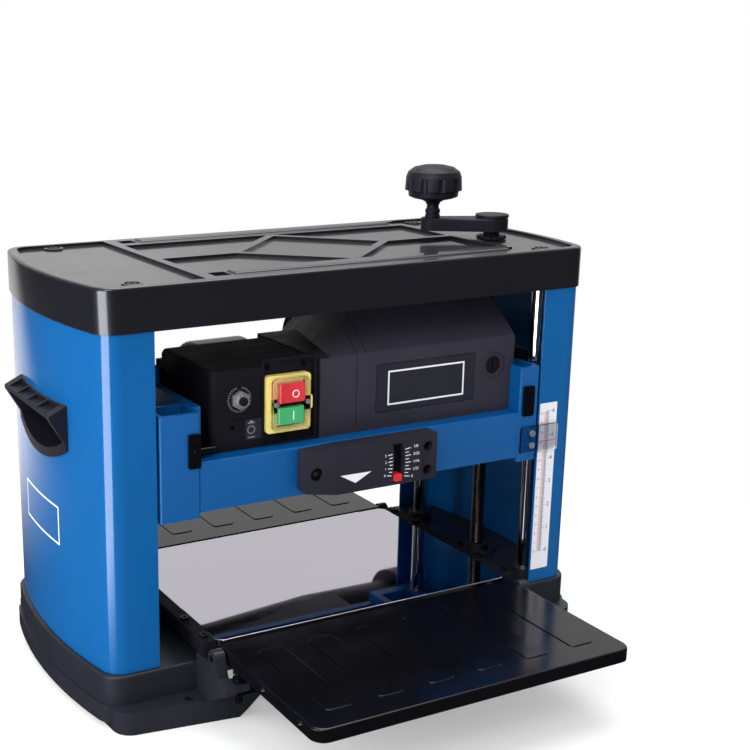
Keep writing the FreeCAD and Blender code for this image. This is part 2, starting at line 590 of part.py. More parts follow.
def motor_outline(inset):
    """(y, z) section of the motor housing, moved inwards by the inset; the lower side stays open."""
    slope = math.radians(40)
    front, back, top = COVER_FRONT_Y + inset, 46 - inset, MOTOR_TOP - inset
    edge_z = HOUSING_EDGE_Z + inset * (math.tan(slope) - 1 / math.cos(slope))
    shoulder_y = front + (top - edge_z) / math.tan(slope)
    floor_front, floor_back = HOUSING_BOTTOM - inset * 10, 250 - inset * 10
    return [(front, floor_front), (front, edge_z), (shoulder_y, top), (back - 14, top), (back, top - 16),
            (back, floor_back), (-50, floor_back), (-60, floor_front)]


LOW_END_X = -26.0          # foot of the leaning left face, at the front of the motor housing
LOW_END_LEAN = 0.27        # sideways run of that face for each millimetre towards the back
LOW_END_BACK_Y, LOW_END_BACK_Z = 14.0, 303.0


def motor_left_step(inset):
    """Space above the low left end of the motor housing, under a face that leans right and back."""
    height, depth = 60.0, 200.0

    def wedge(start_y, floor_z):
        foot_x = LOW_END_X + LOW_END_LEAN * (start_y - COVER_FRONT_Y) + floor_z - HOUSING_EDGE_Z + 1.5 * inset
        corners = [(-FAR, floor_z), (foot_x, floor_z), (foot_x + height, floor_z + height),
                   (-FAR, floor_z + height)]
        wire = Part.makePolygon([Vec(x, start_y, z) for x, z in corners + corners[:1]])
        return Part.Face(wire).extrude(Vec(LOW_END_LEAN * depth, depth, 0))
    return fuse(wedge(COVER_FRONT_Y - 1, HOUSING_EDGE_Z - inset),
                wedge(LOW_END_BACK_Y - inset, LOW_END_BACK_Z - inset))


def motor_housing():
    """Hollow moulding: upright front, sloping shoulder, low left end, seams and wells for plate and brush."""
    body = prism_x(motor_outline(0), MOTOR_LEFT, MOTOR_RIGHT)
    bends = [e for e in body.Edges if e.BoundBox.XLength > 100 and e.BoundBox.ZMin > HOUSING_EDGE_Z - 1]
    body = rounded(body, 5, bends)
    right_end = [e for e in body.Edges if e.BoundBox.XMin > MOTOR_RIGHT - 0.01 and e.BoundBox.ZMin > 240]
    body = rounded(body, 2.2, right_end)
    hollow = prism_x(motor_outline(MOULDING), MOTOR_LEFT + MOULDING, MOTOR_RIGHT - MOULDING)
    body = body.cut(motor_left_step(0)).cut(hollow.cut(motor_left_step(MOULDING)))
    plate_recess = rounded_box_y(25, 141.5, COVER_FRONT_Y - 5, COVER_FRONT_Y + 1.2, 255.5, 304, 2)
    brush_well = hexagon_y(15, BRUSH_X, BRUSH_Z, COVER_FRONT_Y - 1, COVER_FRONT_Y + 1.6)
    brush_hole = cyl(9, BRUSH_X, COVER_FRONT_Y - 1, BRUSH_Z, Y_AXIS, 20)
    core = prism_x(motor_outline(0.8), MOTOR_LEFT, MOTOR_RIGHT)
    skin = prism_x(motor_outline(-1), MOTOR_LEFT, MOTOR_RIGHT).cut(core)
    full_seam = skin.common(box(2.4, 3.6, -FAR, 40, HOUSING_BOTTOM - 1, FAR))
    upper_seam = skin.common(box(13, 14.2, -FAR, 40, HOUSING_EDGE_Z, FAR))
    bearing_boss = cyl(MOTOR_BEARING_R + 4, MOTOR_RIGHT - 12, MOTOR_Y, MOTOR_Z, X_AXIS, 10)
    bearing_seat = cyl(MOTOR_BEARING_R, MOTOR_RIGHT - 13, MOTOR_Y, MOTOR_Z, X_AXIS, 10)
    shaft_hole = cyl(MOTOR_BEARING_R, MOTOR_LEFT - 1, MOTOR_Y, MOTOR_Z, X_AXIS, 10)
    return cut(fuse(body, bearing_boss), plate_recess, brush_well, brush_hole, full_seam, upper_seam,
               shaft_hole, bearing_seat)


SWITCH_LEFT, SWITCH_RIGHT = -150.0, -40.0
SWITCH_BACK = 12.0
BUTTON_X, STOP_Z, START_Z = -73.3, 291.2, 269.3
BUTTON_W, STOP_H, START_H = 26.5, 18.0, 16.5
BREAKER_X, BREAKER_Z = -121.5, 287.6
BUTTON_PLAY = 0.3
PLATE_BACK_Y = COVER_FRONT_Y + 3


def button_windows(y0, y1, play):
    """Clearance solids through which both buttons travel."""
    return [box(BUTTON_X - BUTTON_W / 2 - play, BUTTON_X + BUTTON_W / 2 + play, y0, y1,
                z - height / 2 - play, z + height / 2 + play)
            for z, height in ((STOP_Z, STOP_H), (START_Z, START_H))]


def switch_housing():
    """Hollow moulding: soft left edge, proud rim around the switch bay, shallow field around the breaker."""
    top = HOUSING_EDGE_Z + 0.7
    outline = [(COVER_FRONT_Y, HOUSING_BOTTOM), (COVER_FRONT_Y, top), (-8, top), (-2, top - 6),
               (-2, top - 13), (SWITCH_BACK, top - 14), (SWITCH_BACK, 250), (-50, 250), (-60, HOUSING_BOTTOM)]
    body = prism_x(outline, SWITCH_LEFT, SWITCH_RIGHT)
    corner = upright_edges(body, lambda p: p.y < COVER_FRONT_Y + 0.1 and p.x < SWITCH_LEFT + 0.1)
    body = rounded(body, 7, corner)
    body = rounded(body, 2.5, [e for e in level_edges(body, top) if e.BoundBox.YMin < COVER_FRONT_Y + 8])
    inner = [(COVER_FRONT_Y + 5, 200), (COVER_FRONT_Y + 5, top - 3), (-10, top - 3), (-5, top - 16),
             (SWITCH_BACK - 3, top - 17), (SWITCH_BACK - 3, 200)]
    body = body.cut(prism_x(inner, SWITCH_LEFT + MOULDING, SWITCH_RIGHT - MOULDING))
    rim_front, rim_back = COVER_FRONT_Y - 0.6, COVER_FRONT_Y + 4.5
    bay_rim = rounded_box_y(-99, -41.5, rim_front, rim_back, BEAM_TOP + 0.2, top + 5.5, 2)
    bay = rounded_box_y(-96.6, -44, COVER_FRONT_Y - 1, PLATE_BACK_Y, BEAM_TOP + 2.4, top + 3, 1)
    field_front, field_back, field_r = COVER_FRONT_Y - 1, COVER_FRONT_Y + 0.8, 19
    field = fuse(cyl(field_r, BREAKER_X, field_front, BREAKER_Z, Y_AXIS, field_back - field_front),
                 box(BREAKER_X, -98.6, field_front, field_back, BREAKER_Z - field_r, BREAKER_Z + field_r))
    breaker_hole = cyl(5, BREAKER_X, COVER_FRONT_Y - 1, BREAKER_Z, Y_AXIS, 10)
    blind_hole = cyl(2.4, -129, COVER_FRONT_Y - 1, 261.6, Y_AXIS, 4)
    shaft_path = cyl(9, SWITCH_LEFT - 1, MOTOR_Y, MOTOR_Z, X_AXIS, 120)
    windows = button_windows(COVER_FRONT_Y - 1, COVER_FRONT_Y + 6, BUTTON_PLAY)
    return cut(fuse(body.cut(field), bay_rim), bay, breaker_hole, blind_hole, shaft_path, *windows)


GUARD_SCREWS = ((-88.6, 280.4), (-55.6, 280.4))
BAY_SCREWS = ((-92.6, 313.8), (-54.4, 313.8), (-74.2, 246.0))


def switch_plate():
    """Yellow backing plate with lugs for the two guard screws."""
    plate = rounded_box_y(-96, -49, PLATE_BACK_Y - 6, PLATE_BACK_Y, 252, 306.5, 4)
    lugs = rounded_box_y(-93, -47.4, PLATE_BACK_Y - 7, PLATE_BACK_Y, 271.5, 285, 2)
    body = fuse(plate, lugs)
    holes = [cyl(1.6, x, -FAR / 2, z, Y_AXIS, FAR) for x, z in GUARD_SCREWS]
    return cut(body, *(button_windows(-130, -100, BUTTON_PLAY) + holes))


def button_guard():
    """Clear frame around both buttons."""
    front, back = PLATE_BACK_Y - 12, PLATE_BACK_Y - 7
    frame = rounded_box_y(-91, -51.8, front, back, 254, 303.8, 5)
    face = [e for e in frame.Edges if e.BoundBox.YMax < front + 1e-3]
    frame = rounded(frame, 1.5, face)
    holes = [cyl(1.6, x, -FAR / 2, z, Y_AXIS, FAR) for x, z in GUARD_SCREWS]
    return cut(frame, *(button_windows(front - 1, back + 1, 1.2) + holes))


def push_button(z, height, front_y):
    half_width, back_y = BUTTON_W / 2, -104.5
    body = box(BUTTON_X - half_width, BUTTON_X + half_width, front_y, back_y, z - height / 2, z + height / 2)
    return rounded(body, 1.2, [e for e in body.Edges if e.BoundBox.YMax < front_y + 1e-3])


def stop_button():
    """Stop button, dished in front."""
    body = push_button(STOP_Z, STOP_H, -125.0)
    return body.cut(cyl(60, BUTTON_X, -183.8, STOP_Z - 30, Z_AXIS, 60))


def start_button():
    return push_button(START_Z, START_H, -123.0)


def breaker_nut():
    nut = hexagon_y(9, BREAKER_X, BREAKER_Z, COVER_FRONT_Y - 4, COVER_FRONT_Y + 0.8)
    neck = cyl(5.6, BREAKER_X, COVER_FRONT_Y - 7, BREAKER_Z, Y_AXIS, 7)
    body = fuse(nut, neck)
    return body.cut(cyl(3.9 + RUNNING, BREAKER_X, -FAR / 2, BREAKER_Z, Y_AXIS, FAR))


def breaker_button():
    button = cyl(3.9, BREAKER_X, COVER_FRONT_Y - 10, BREAKER_Z, Y_AXIS, 16)
    return rounded(button, 1, [e for e in button.Edges if e.BoundBox.YMax < COVER_FRONT_Y - 9])


def rating_plates():
    """Blank name plate on the motor housing and a small plain plate on the switch housing."""
    name_plate = rounded_box_y(25.6, 140.9, COVER_FRONT_Y + 0.2, COVER_FRONT_Y + 1.2, 256.1, 303.4, 2)
    symbol_plate = box(-116, -99.4, COVER_FRONT_Y - 0.5, COVER_FRONT_Y, 248.5, 268)
    return compound([name_plate, symbol_plate])


def brush_caps():
    """Slotted brush cap in the front well, with its tube to the commutator, and the rear brush tube."""
    face_y = COVER_FRONT_Y + 2.5
    cap = cyl(9, BRUSH_X, face_y, BRUSH_Z, Y_AXIS, 6)
    cap = rounded(cap, 1.5, [e for e in cap.Edges if e.BoundBox.YMax < face_y + 0.01])
    cap = cap.cut(box(BRUSH_X - 1, BRUSH_X + 1, face_y - 1, face_y + 2, BRUSH_Z - 6, BRUSH_Z + 6))
    front = fuse(cap, cyl(5, BRUSH_X, COVER_FRONT_Y + 5, MOTOR_Z, Y_AXIS, 86))
    rear = cyl(5, BRUSH_X, MOTOR_Y + 15, MOTOR_Z, Y_AXIS, 25)
    return compound([front, rear])


def motor_stator():
    core = ring(36, 26.5, 40, MOTOR_Y, MOTOR_Z, X_AXIS, 90)
    flats = [box(30, 140, MOTOR_Y - 50, MOTOR_Y + 50, MOTOR_Z + side * 42 - 8, MOTOR_Z + side * 42 + 8)
             for side in (-1, 1)]
    return cut(core, *flats)


def motor_armature():
    """Rotor core, commutator, cooling fan and belt pulley on one shaft."""
    shaft = cyl(ARMATURE_R, -199, MOTOR_Y, MOTOR_Z, X_AXIS, MOTOR_RIGHT - 8 + 199)
    rotor = cyl(25.5, 45, MOTOR_Y, MOTOR_Z, X_AXIS, 80)
    commutator = cyl(14, 152, MOTOR_Y, MOTOR_Z, X_AXIS, 22)
    pulley = cyl(13, -197, MOTOR_Y, MOTOR_Z, X_AXIS, 14)
    fan_hub = cyl(12, 14, MOTOR_Y, MOTOR_Z, X_AXIS, 16)
    blades = []
    for index in range(8):
        blade = box(14, 30, MOTOR_Y - 1, MOTOR_Y + 1, MOTOR_Z + 10, MOTOR_Z + 31)
        blade.rotate(Vec(0, MOTOR_Y, MOTOR_Z), X_AXIS, 45 * index)
        blades.append(blade)
    return fuse(shaft, rotor, commutator, pulley, fan_hub, *blades)


PULLEY_R = 17.0


def drive_belt():
    """Flat belt from the motor pulley to the cutterhead pulley."""
    motor, cutter = (MOTOR_Y, MOTOR_Z), (CUTTER_Y, CUTTER_Z)

    def loop(extra, x0, x1):
        return hull_of_circles(motor, 13 + extra, cutter, PULLEY_R + extra,
                               lambda corners: prism_x(corners, x0, x1),
                               lambda c, r: cyl(r, x0, c[0], c[1], X_AXIS, x1 - x0))
    return loop(2.6, -195, -185).cut(loop(0.1, -196, -184))


def cutterhead_block():
    """Steel block with two knife gullets and a journal at each end."""
    barrel = cyl(24.5, -159, CUTTER_Y, CUTTER_Z, X_AXIS, 318)
    journals = cyl(JOURNAL_R, -200, CUTTER_Y, CUTTER_Z, X_AXIS, 372)
    gullets = []
    for turn in (0, 180):
        gullet = box(-160, 160, CUTTER_Y - 3, CUTTER_Y + 10, CUTTER_Z + 13, CUTTER_Z + 30)
        gullet.rotate(Vec(0, CUTTER_Y, CUTTER_Z), X_AXIS, turn + 40)
        gullets.append(gullet)
    return cut(fuse(barrel, journals), *gullets)


def cutter_knives():
    knives = []
    for turn in (0, 180):
        knife = prism_x([(CUTTER_Y - 3, CUTTER_Z + 13), (CUTTER_Y - 0.5, CUTTER_Z + 13),
                         (CUTTER_Y - 0.5, CUTTER_Z + 24), (CUTTER_Y - 2.8, CUTTER_Z + 25.8),
                         (CUTTER_Y - 3, CUTTER_Z + 25.8)], -159, 159)
        knife.rotate(Vec(0, CUTTER_Y, CUTTER_Z), X_AXIS, turn + 40)
        knives.append(knife)
    return compound(knives)


def knife_clamps():
    """Clamp bar of each knife with its row of screw heads."""
    clamps = []
    for turn in (0, 180):
        bar = box(-156, 156, CUTTER_Y - 0.5, CUTTER_Y + 5, CUTTER_Z + 13, CUTTER_Z + 21)
        heads = [cyl(3, x, CUTTER_Y + 5, CUTTER_Z + 17, Y_AXIS, 2.5) for x in range(-140, 141, 40)]
        clamp = fuse(bar, *heads)
        clamp.rotate(Vec(0, CUTTER_Y, CUTTER_Z), X_AXIS, turn + 40)
        clamps.append(clamp)
    return compound(clamps)


def cutterhead_pulley():
    return ring(PULLEY_R, JOURNAL_R, -197, CUTTER_Y, CUTTER_Z, X_AXIS, 14)


def shaft_bearings():
    """Cutterhead bearings in both cheeks, and the three bearings of the motor shaft."""
    rings = [ring(17.5, JOURNAL_R + RUNNING, x, CUTTER_Y, CUTTER_Z, X_AXIS, CHEEK_OUT - CHEEK_IN)
             for x in (-CHEEK_OUT, CHEEK_IN)]
    for x, width in ((-CHEEK_OUT, CHEEK_OUT - CHEEK_IN), (MOTOR_LEFT, MOULDING), (MOTOR_RIGHT - 11, 8)):
        rings.append(ring(MOTOR_BEARING_R, ARMATURE_R + RUNNING, x, MOTOR_Y, MOTOR_Z, X_AXIS, width))
    return compound(rings)


ROLLER_JOURNAL_R = 6.0


def feed_roller(y):
    core = cyl(ROLLER_R, -158, y, ROLLER_Z, X_AXIS, 316)
    edges = [e for e in core.Edges if e.BoundBox.XLength < 1e-4]
    return fuse(rounded(core, 1, edges), cyl(ROLLER_JOURNAL_R, -174, y, ROLLER_Z, X_AXIS, 348))


def roller_bearing_blocks():
    blocks = []
    for y in (INFEED_ROLLER_Y, OUTFEED_ROLLER_Y):
        for x in (-CHEEK_OUT, CHEEK_IN):
            block = box(x, x + CHEEK_OUT - CHEEK_IN, y - 12, y + 12, ROLLER_Z - 12, ROLLER_Z + 12)
            blocks.append(block.cut(cyl(ROLLER_JOURNAL_R + RUNNING, -FAR / 2, y, ROLLER_Z, X_AXIS, FAR)))
    return compound(blocks)


def pawl_shaft():
    return cyl(PAWL_SHAFT_R, -CHEEK_OUT, PAWL_Y, PAWL_Z, X_AXIS, 2 * CHEEK_OUT)


def anti_kickback_pawls():
    """Row of toothed fingers that hang in front of the infeed roller, joined by a sleeve."""
    sleeve = ring(6.2, PAWL_SHAFT_R + RUNNING, -156, PAWL_Y, PAWL_Z, X_AXIS, 312)
    tip_z = CUT_Z + 1.2
    fingers = []
    for x in range(-150, 151, 20):
        finger = prism_x([(PAWL_Y - 5, PAWL_Z), (PAWL_Y + 5, PAWL_Z), (PAWL_Y + 4, tip_z + 6),
                          (PAWL_Y + 1, tip_z), (PAWL_Y - 4, tip_z + 3)], x - 4, x + 4)
        fingers.append(finger.cut(cyl(PAWL_SHAFT_R + RUNNING, x - 5, PAWL_Y, PAWL_Z, X_AXIS, 10)))
    return fuse(sleeve, *fingers)


BRACKET_SCREW_OFFSET = 10.5


def side_brackets():
    """Plates on the end blocks, each with a pin that locates its housing."""
    left = rounded_box_y(-182.2, -170.3, BEAM_FRONT_Y - 2.6, BEAM_FRONT_Y, 236, 267.5, 1.5)
    right = rounded_box_y(189, 202.3, BEAM_FRONT_Y - 2.6, BEAM_FRONT_Y, 236, 267, 1.5)
    left_pin = cyl(3.2, LEFT_BLOCK_IN, -118, 247, X_AXIS, SWITCH_LEFT - LEFT_BLOCK_IN)
    plates = []
    for plate, x in ((left, -176.2), (right, 195.6)):
        holes = [cyl(1.6, x, -FAR / 2, 251.7 + dz, Y_AXIS, FAR)
                 for dz in (-BRACKET_SCREW_OFFSET, 0, BRACKET_SCREW_OFFSET)]
        plates.append(cut(plate, *holes))
    return compound(plates + [left_pin])


GAUGE_LEFT, GAUGE_RIGHT = -71.0, 73.0
GAUGE_FRONT_Y = -150.0
GAUGE_BOTTOM, GAUGE_TOP = CUT_Z + 5.7, CUT_Z + 50.5
GAUGE_PIVOT_X, GAUGE_PIVOT_Z = -59.6, 217.0
POINTER_REACH = 88.0
POINTER_REST = 9.8         # degrees by which the lever droops at the zero mark
GAUGE_SCREWS = ((62.0, 228.0), (62.0, 204.5))
POINTER_SLOT_HALF = 5.6
GAUGE_PIN_R = 2.0


def gauge_housing():
    """Depth gauge box: curved left end, stepped front, arc slot for the pointer, round pivot window."""
    back = BEAM_FRONT_Y + 0.6
    body = box(GAUGE_LEFT, GAUGE_RIGHT, GAUGE_FRONT_Y, back, GAUGE_BOTTOM, GAUGE_TOP)
    middle_z = (GAUGE_BOTTOM + GAUGE_TOP) / 2
    body = body.common(cyl(70, GAUGE_LEFT + 68, -FAR / 2, middle_z + 2, Y_AXIS, FAR).fuse(
        box(0, FAR, -FAR, FAR, 0, FAR)))
    body = rounded(body, 3, upright_edges(body, lambda p: p.x > GAUGE_RIGHT - 1 and p.y < GAUGE_FRONT_Y + 1))
    left_step = prism_z([(-FAR, -160), (-39, -160), (-39.5, GAUGE_FRONT_Y), (-45, GAUGE_FRONT_Y + 1),
                         (GAUGE_LEFT, GAUGE_FRONT_Y + 4.5), (-FAR, GAUGE_FRONT_Y + 4.5)], 0, FAR)
    taper_x, tip_x = -40.0, GAUGE_LEFT - 2
    low_taper = prism_y([(taper_x, GAUGE_BOTTOM), (tip_x, GAUGE_BOTTOM + 4.5), (tip_x, 0), (taper_x, 0)],
                        -FAR, FAR)
    high_taper = prism_y([(taper_x, GAUGE_TOP), (taper_x, FAR), (tip_x, FAR), (tip_x, GAUGE_TOP - 2)],
                         -FAR, FAR)
    right_step = prism_z([(FAR, -160), (55, -160), (55.5, GAUGE_FRONT_Y), (57, GAUGE_FRONT_Y + 1),
                          (FAR, GAUGE_FRONT_Y + 1)], 0, FAR)
    cavity = box(GAUGE_PIVOT_X - 7, 44, GAUGE_FRONT_Y + 5.5, back - 3, 0, GAUGE_TOP - 3)
    window = cyl(6.2, GAUGE_PIVOT_X, GAUGE_FRONT_Y - 1, GAUGE_PIVOT_Z, Y_AXIS, 9)
    holes = [cyl(4.8, x, -FAR / 2, z, Y_AXIS, FAR / 2 + GAUGE_FRONT_Y + 13) for x, z in GAUGE_SCREWS]
    holes += [cyl(2, x, -FAR / 2, z, Y_AXIS, FAR) for x, z in GAUGE_SCREWS]
    outer, inner = POINTER_REACH + POINTER_SLOT_HALF, POINTER_REACH - POINTER_SLOT_HALF
    arc = ring(outer, inner, GAUGE_PIVOT_X, GAUGE_FRONT_Y - 1, GAUGE_PIVOT_Z, Y_AXIS, 8)
    slot = arc.common(box(0, FAR, -FAR, FAR, GAUGE_PIVOT_Z - 19.5, GAUGE_PIVOT_Z + 18.5))
    body = cut(body, left_step, right_step, low_taper, high_taper, cavity, window, slot, *holes)
    return fuse(body, cyl(GAUGE_PIN_R, GAUGE_PIVOT_X, GAUGE_FRONT_Y + 6, GAUGE_PIVOT_Z, Y_AXIS, 12))


def gauge_pointer():
    """Lever that drops to the zero mark, with a foot for the board and a tip that shows in the slot."""
    lever_front, lever_back = GAUGE_FRONT_Y + 7, GAUGE_FRONT_Y + 11
    lever = box(GAUGE_PIVOT_X - 5, GAUGE_PIVOT_X + POINTER_REACH, lever_front, lever_back,
                GAUGE_PIVOT_Z - 4, GAUGE_PIVOT_Z + 4)
    lever = lever.cut(cyl(GAUGE_PIN_R + RUNNING, GAUGE_PIVOT_X, -FAR / 2, GAUGE_PIVOT_Z, Y_AXIS, FAR))
    lever.rotate(Vec(GAUGE_PIVOT_X, 0, GAUGE_PIVOT_Z), Y_AXIS, POINTER_REST)
    droop = math.radians(POINTER_REST)
    tip_x = GAUGE_PIVOT_X + POINTER_REACH * math.cos(droop)
    tip_z = GAUGE_PIVOT_Z - POINTER_REACH * math.sin(droop)
    tip = rounded_box_y(tip_x - 4.6, tip_x + 4.6, GAUGE_FRONT_Y - 0.8, lever_front + 1,
                        tip_z - 3.7, tip_z + 3.7, 2)
    foot_bar = box(-8, 0, lever_front, lever_back, GAUGE_BOTTOM + 0.4, GAUGE_PIVOT_Z - 9)
    return fuse(lever, tip, foot_bar)


POINTER_SCREWS = ((201.5, 217.0), (201.5, 204.5))


def height_pointer():
    """Clear plate on the right end block that reaches over the scale."""
    back = BEAM_FRONT_Y - 0.4
    plate = rounded_box_y(188, 235, back - 2.2, back, 195.6, 224, 3)
    holes = [cyl(1.6, x, -FAR / 2, z, Y_AXIS, FAR) for x, z in POINTER_SCREWS]
    return cut(plate, *holes)


def height_scale():
    return rounded_box_y(213, 235, -HALF_DEPTH - 0.35, -HALF_DEPTH, SCALE_ZERO_Z - 20, SCALE_ZERO_Z + 161, 1)


def carriage_screws():
    screws = []
    for x in (-176.2, 195.6):
        for dz in (-BRACKET_SCREW_OFFSET, BRACKET_SCREW_OFFSET):
            screws.append(cap_screw_y(x, BEAM_FRONT_Y - 2.6, 251.7 + dz, 3.2, 1.8, 1.6, 2.6))
    for x, z in POINTER_SCREWS:
        screws.append(cap_screw_y(x, BEAM_FRONT_Y - 2.6, z, 3.2, 1.8, 1.6, 2.6))
    for x, z in GUARD_SCREWS:
        screws.append(cap_screw_y(x, PLATE_BACK_Y - 12, z, 2.4, 1.5, 1.6, 11))
    for x, z in BAY_SCREWS:
        screws.append(cap_screw_y(x, PLATE_BACK_Y, z, 2.5, 1.5, 0, 0))
    for x, z in GAUGE_SCREWS:
        screws.append(cap_screw_y(x, GAUGE_FRONT_Y + 13, z, 3.4, 3, 2, 7.6))
    return compound(screws)


def chip_deflector():
    """Curved sheet that leads chips from the cutterhead back over the housings."""
    radius, thick, left_x = 70.0, 1.5, -92.0
    sheet = ring(radius, radius - thick, left_x, 44, 236.5, X_AXIS, MOTOR_LEFT - left_x)
    return sheet.common(box(-FAR, FAR, SWITCH_BACK, 86, 280, FAR))


HOOD_START = Vec(-150, 118, 222)      # small left end of the tapered duct
HOOD_END = Vec(252, 184, 262)         # where it meets the hose port
HOOD_START_R, HOOD_BARREL_R, HOOD_WALL = 18.0, 37.0, 3.0
HOOD_CONE_LENGTH = 270.0
PORT_R, PORT_LENGTH = 50.0, 50.0
DUCT_BOTTOM, DUCT_TOP = 212.0, 236.0


def dust_hood():
    """Tapered duct that slants back from the carriage, clears the right shell and ends in a hose port."""
    run = HOOD_END - HOOD_START
    along = Vec(run).normalize()

    def body(shrink):
        cone = Part.makeCone(HOOD_START_R - shrink, HOOD_BARREL_R - shrink, HOOD_CONE_LENGTH,
                             HOOD_START + along * shrink, along)
        barrel = Part.makeCylinder(HOOD_BARREL_R - shrink, run.Length - HOOD_CONE_LENGTH + 8,
                                   HOOD_START + along * HOOD_CONE_LENGTH, along)
        port = cyl(PORT_R - shrink, HOOD_END.x + shrink, HOOD_END.y, HOOD_END.z, X_AXIS, PORT_LENGTH)
        plan = [(shrink - 148, 97 - shrink), (150 - shrink, 97 - shrink), (150 - shrink, 166),
                (shrink - 148, HOOD_START.y)]
        duct = prism_z(plan, DUCT_BOTTOM + shrink, DUCT_TOP - shrink)
        return fuse(cone, barrel, port, duct)
    return body(0).cut(body(HOOD_WALL))


def power_cord():
    """Cord tied up in a coil behind the motor housing, with its plug."""
    coil_x, coil_z, bundle_r = 60.0, 300.0, 34.0
    loops = [Part.makeTorus(bundle_r, 4.2, Vec(coil_x, y, coil_z), Y_AXIS) for y in (54, 60.5, 67)]
    tie = box(coil_x - 6, coil_x + 6, 49, 72, coil_z + bundle_r - 6, coil_z + bundle_r + 6)
    plug_neck = cyl(5, coil_x + bundle_r, 60, coil_z - 40, Z_AXIS, 40)
    plug = cyl(15, coil_x + bundle_r, 60, coil_z - 46, Y_AXIS, 16)
    return fuse(tie, plug_neck, plug, *loops)


# ---- folding tables ----
def infeed_table():
    """Pressed sheet table: rounded front corners, folded skirt, six ribs, hinge pins and rivets."""
    rear = BED_FRONT - TABLE_GAP
    front = rear - TABLE_LENGTH
    sheet_top, skirt_bottom = BED_TOP - 0.8, 62.0
    body = box(-TABLE_HALF_WIDTH, TABLE_HALF_WIDTH, front, rear, skirt_bottom, sheet_top)
    body = rounded(body, 13, upright_edges(body, lambda p: p.y < front + 1))
    rim = [e for e in level_edges(body, sheet_top) if e.CenterOfMass.y < rear - 1]
    body = rounded(body, 2.2, rim)
    inner = box(SHEET - TABLE_HALF_WIDTH, TABLE_HALF_WIDTH - SHEET, front + SHEET, rear + 1,
                skirt_bottom - 1, sheet_top - SHEET)
    inner = rounded(inner, 11, upright_edges(inner, lambda p: p.y < front + SHEET + 1))
    body = body.cut(inner)
    extras = []
    rib_width, rib_pitch = 26.0, 51.3
    for index in range(6):
        x = (index - 2.5) * rib_pitch
        pad = rounded_box_z(x - rib_width / 2, x + rib_width / 2, rear - 149, rear - 27,
                            sheet_top - 1, BED_TOP, 5)
        extras.append(rounded(pad, 0.7, level_edges(pad, BED_TOP)))
    for side in (-1, 1):
        pin_start, pin_end = sorted((side * (TABLE_HALF_WIDTH - SHEET), side * 178))
        extras.append(cyl(PIVOT_PIN_R, pin_start, INFEED_HINGE_Y, HINGE_Z, X_AXIS, pin_end - pin_start))
        for y in (-239, -303):
            head = Part.makeSphere(5, Vec(side * (TABLE_HALF_WIDTH - 2.8), y, HINGE_Z + 0.5))
            outside = box(TABLE_HALF_WIDTH - 1, FAR, -FAR, FAR, 0, FAR)
            extras.append(head.common(outside if side > 0 else mirror_x(outside)))
    return fuse(body, *extras)


def outfeed_table():
    """The infeed table turned round to the back of the bed."""
    table = infeed_table()
    table.rotate(Vec(0, 0, 0), Z_AXIS, 180)
    table.translate(Vec(0, OUTFEED_HINGE_Y + INFEED_HINGE_Y, 0))
    return table


BRACKET_IN, BRACKET_OUT = 166.5, 177.0
BOLT_X, BOLT_R, BOLT_TOP = 159.8, 3.4, 61.9
INFEED_BOLT_Y, OUTFEED_BOLT_Y = -185.0, 114.0
LUG_TOP_INFEED, LUG_TOP_OUTFEED = 50.0, 54.0


def bracket_pair(outline, hinge_y, lug):
    """Left and right hinge brackets from one side outline and one bolt lug."""
    ear = cyl(7.5, BRACKET_IN, hinge_y, HINGE_Z, X_AXIS, BRACKET_OUT - BRACKET_IN)
    plate = fuse(prism_x(outline, BRACKET_IN, BRACKET_OUT), ear, lug)
    plate = plate.cut(cyl(PIVOT_PIN_R + RUNNING, 150, hinge_y, HINGE_Z, X_AXIS, 50))
    return plate


def infeed_hinge_brackets():
    back = -HALF_DEPTH - 4 - 0.1
    outline = [(back, FOOT_TOP), (-158, FOOT_TOP), (-194, 42), (-194, LUG_TOP_INFEED), (-178, 52),
               (-172.5, HINGE_Z), (-157.5, HINGE_Z), (-156, 60), (back, 60)]
    lug = box(153, BRACKET_OUT, INFEED_BOLT_Y - 8, INFEED_BOLT_Y + 8, 43, LUG_TOP_INFEED)
    bracket = bracket_pair(outline, INFEED_HINGE_Y, lug)
    bracket = bracket.cut(cyl(BOLT_R, BOLT_X, INFEED_BOLT_Y, 0, Z_AXIS, FAR))
    return compound([bracket, mirror_x(bracket)])


def outfeed_hinge_brackets():
    outline = [(83, DECK_TOP), (124, DECK_TOP), (124, LUG_TOP_OUTFEED), (106, 56), (100.5, HINGE_Z),
               (85.5, HINGE_Z), (83, 60)]
    lug = box(153, BRACKET_OUT, OUTFEED_BOLT_Y - 8, OUTFEED_BOLT_Y + 8, DECK_TOP, LUG_TOP_OUTFEED)
    bracket = bracket_pair(outline, OUTFEED_HINGE_Y, lug)
    bracket = bracket.cut(cyl(BOLT_R, BOLT_X, OUTFEED_BOLT_Y, DECK_TOP, Z_AXIS, FAR))
    return compound([bracket, mirror_x(bracket)])


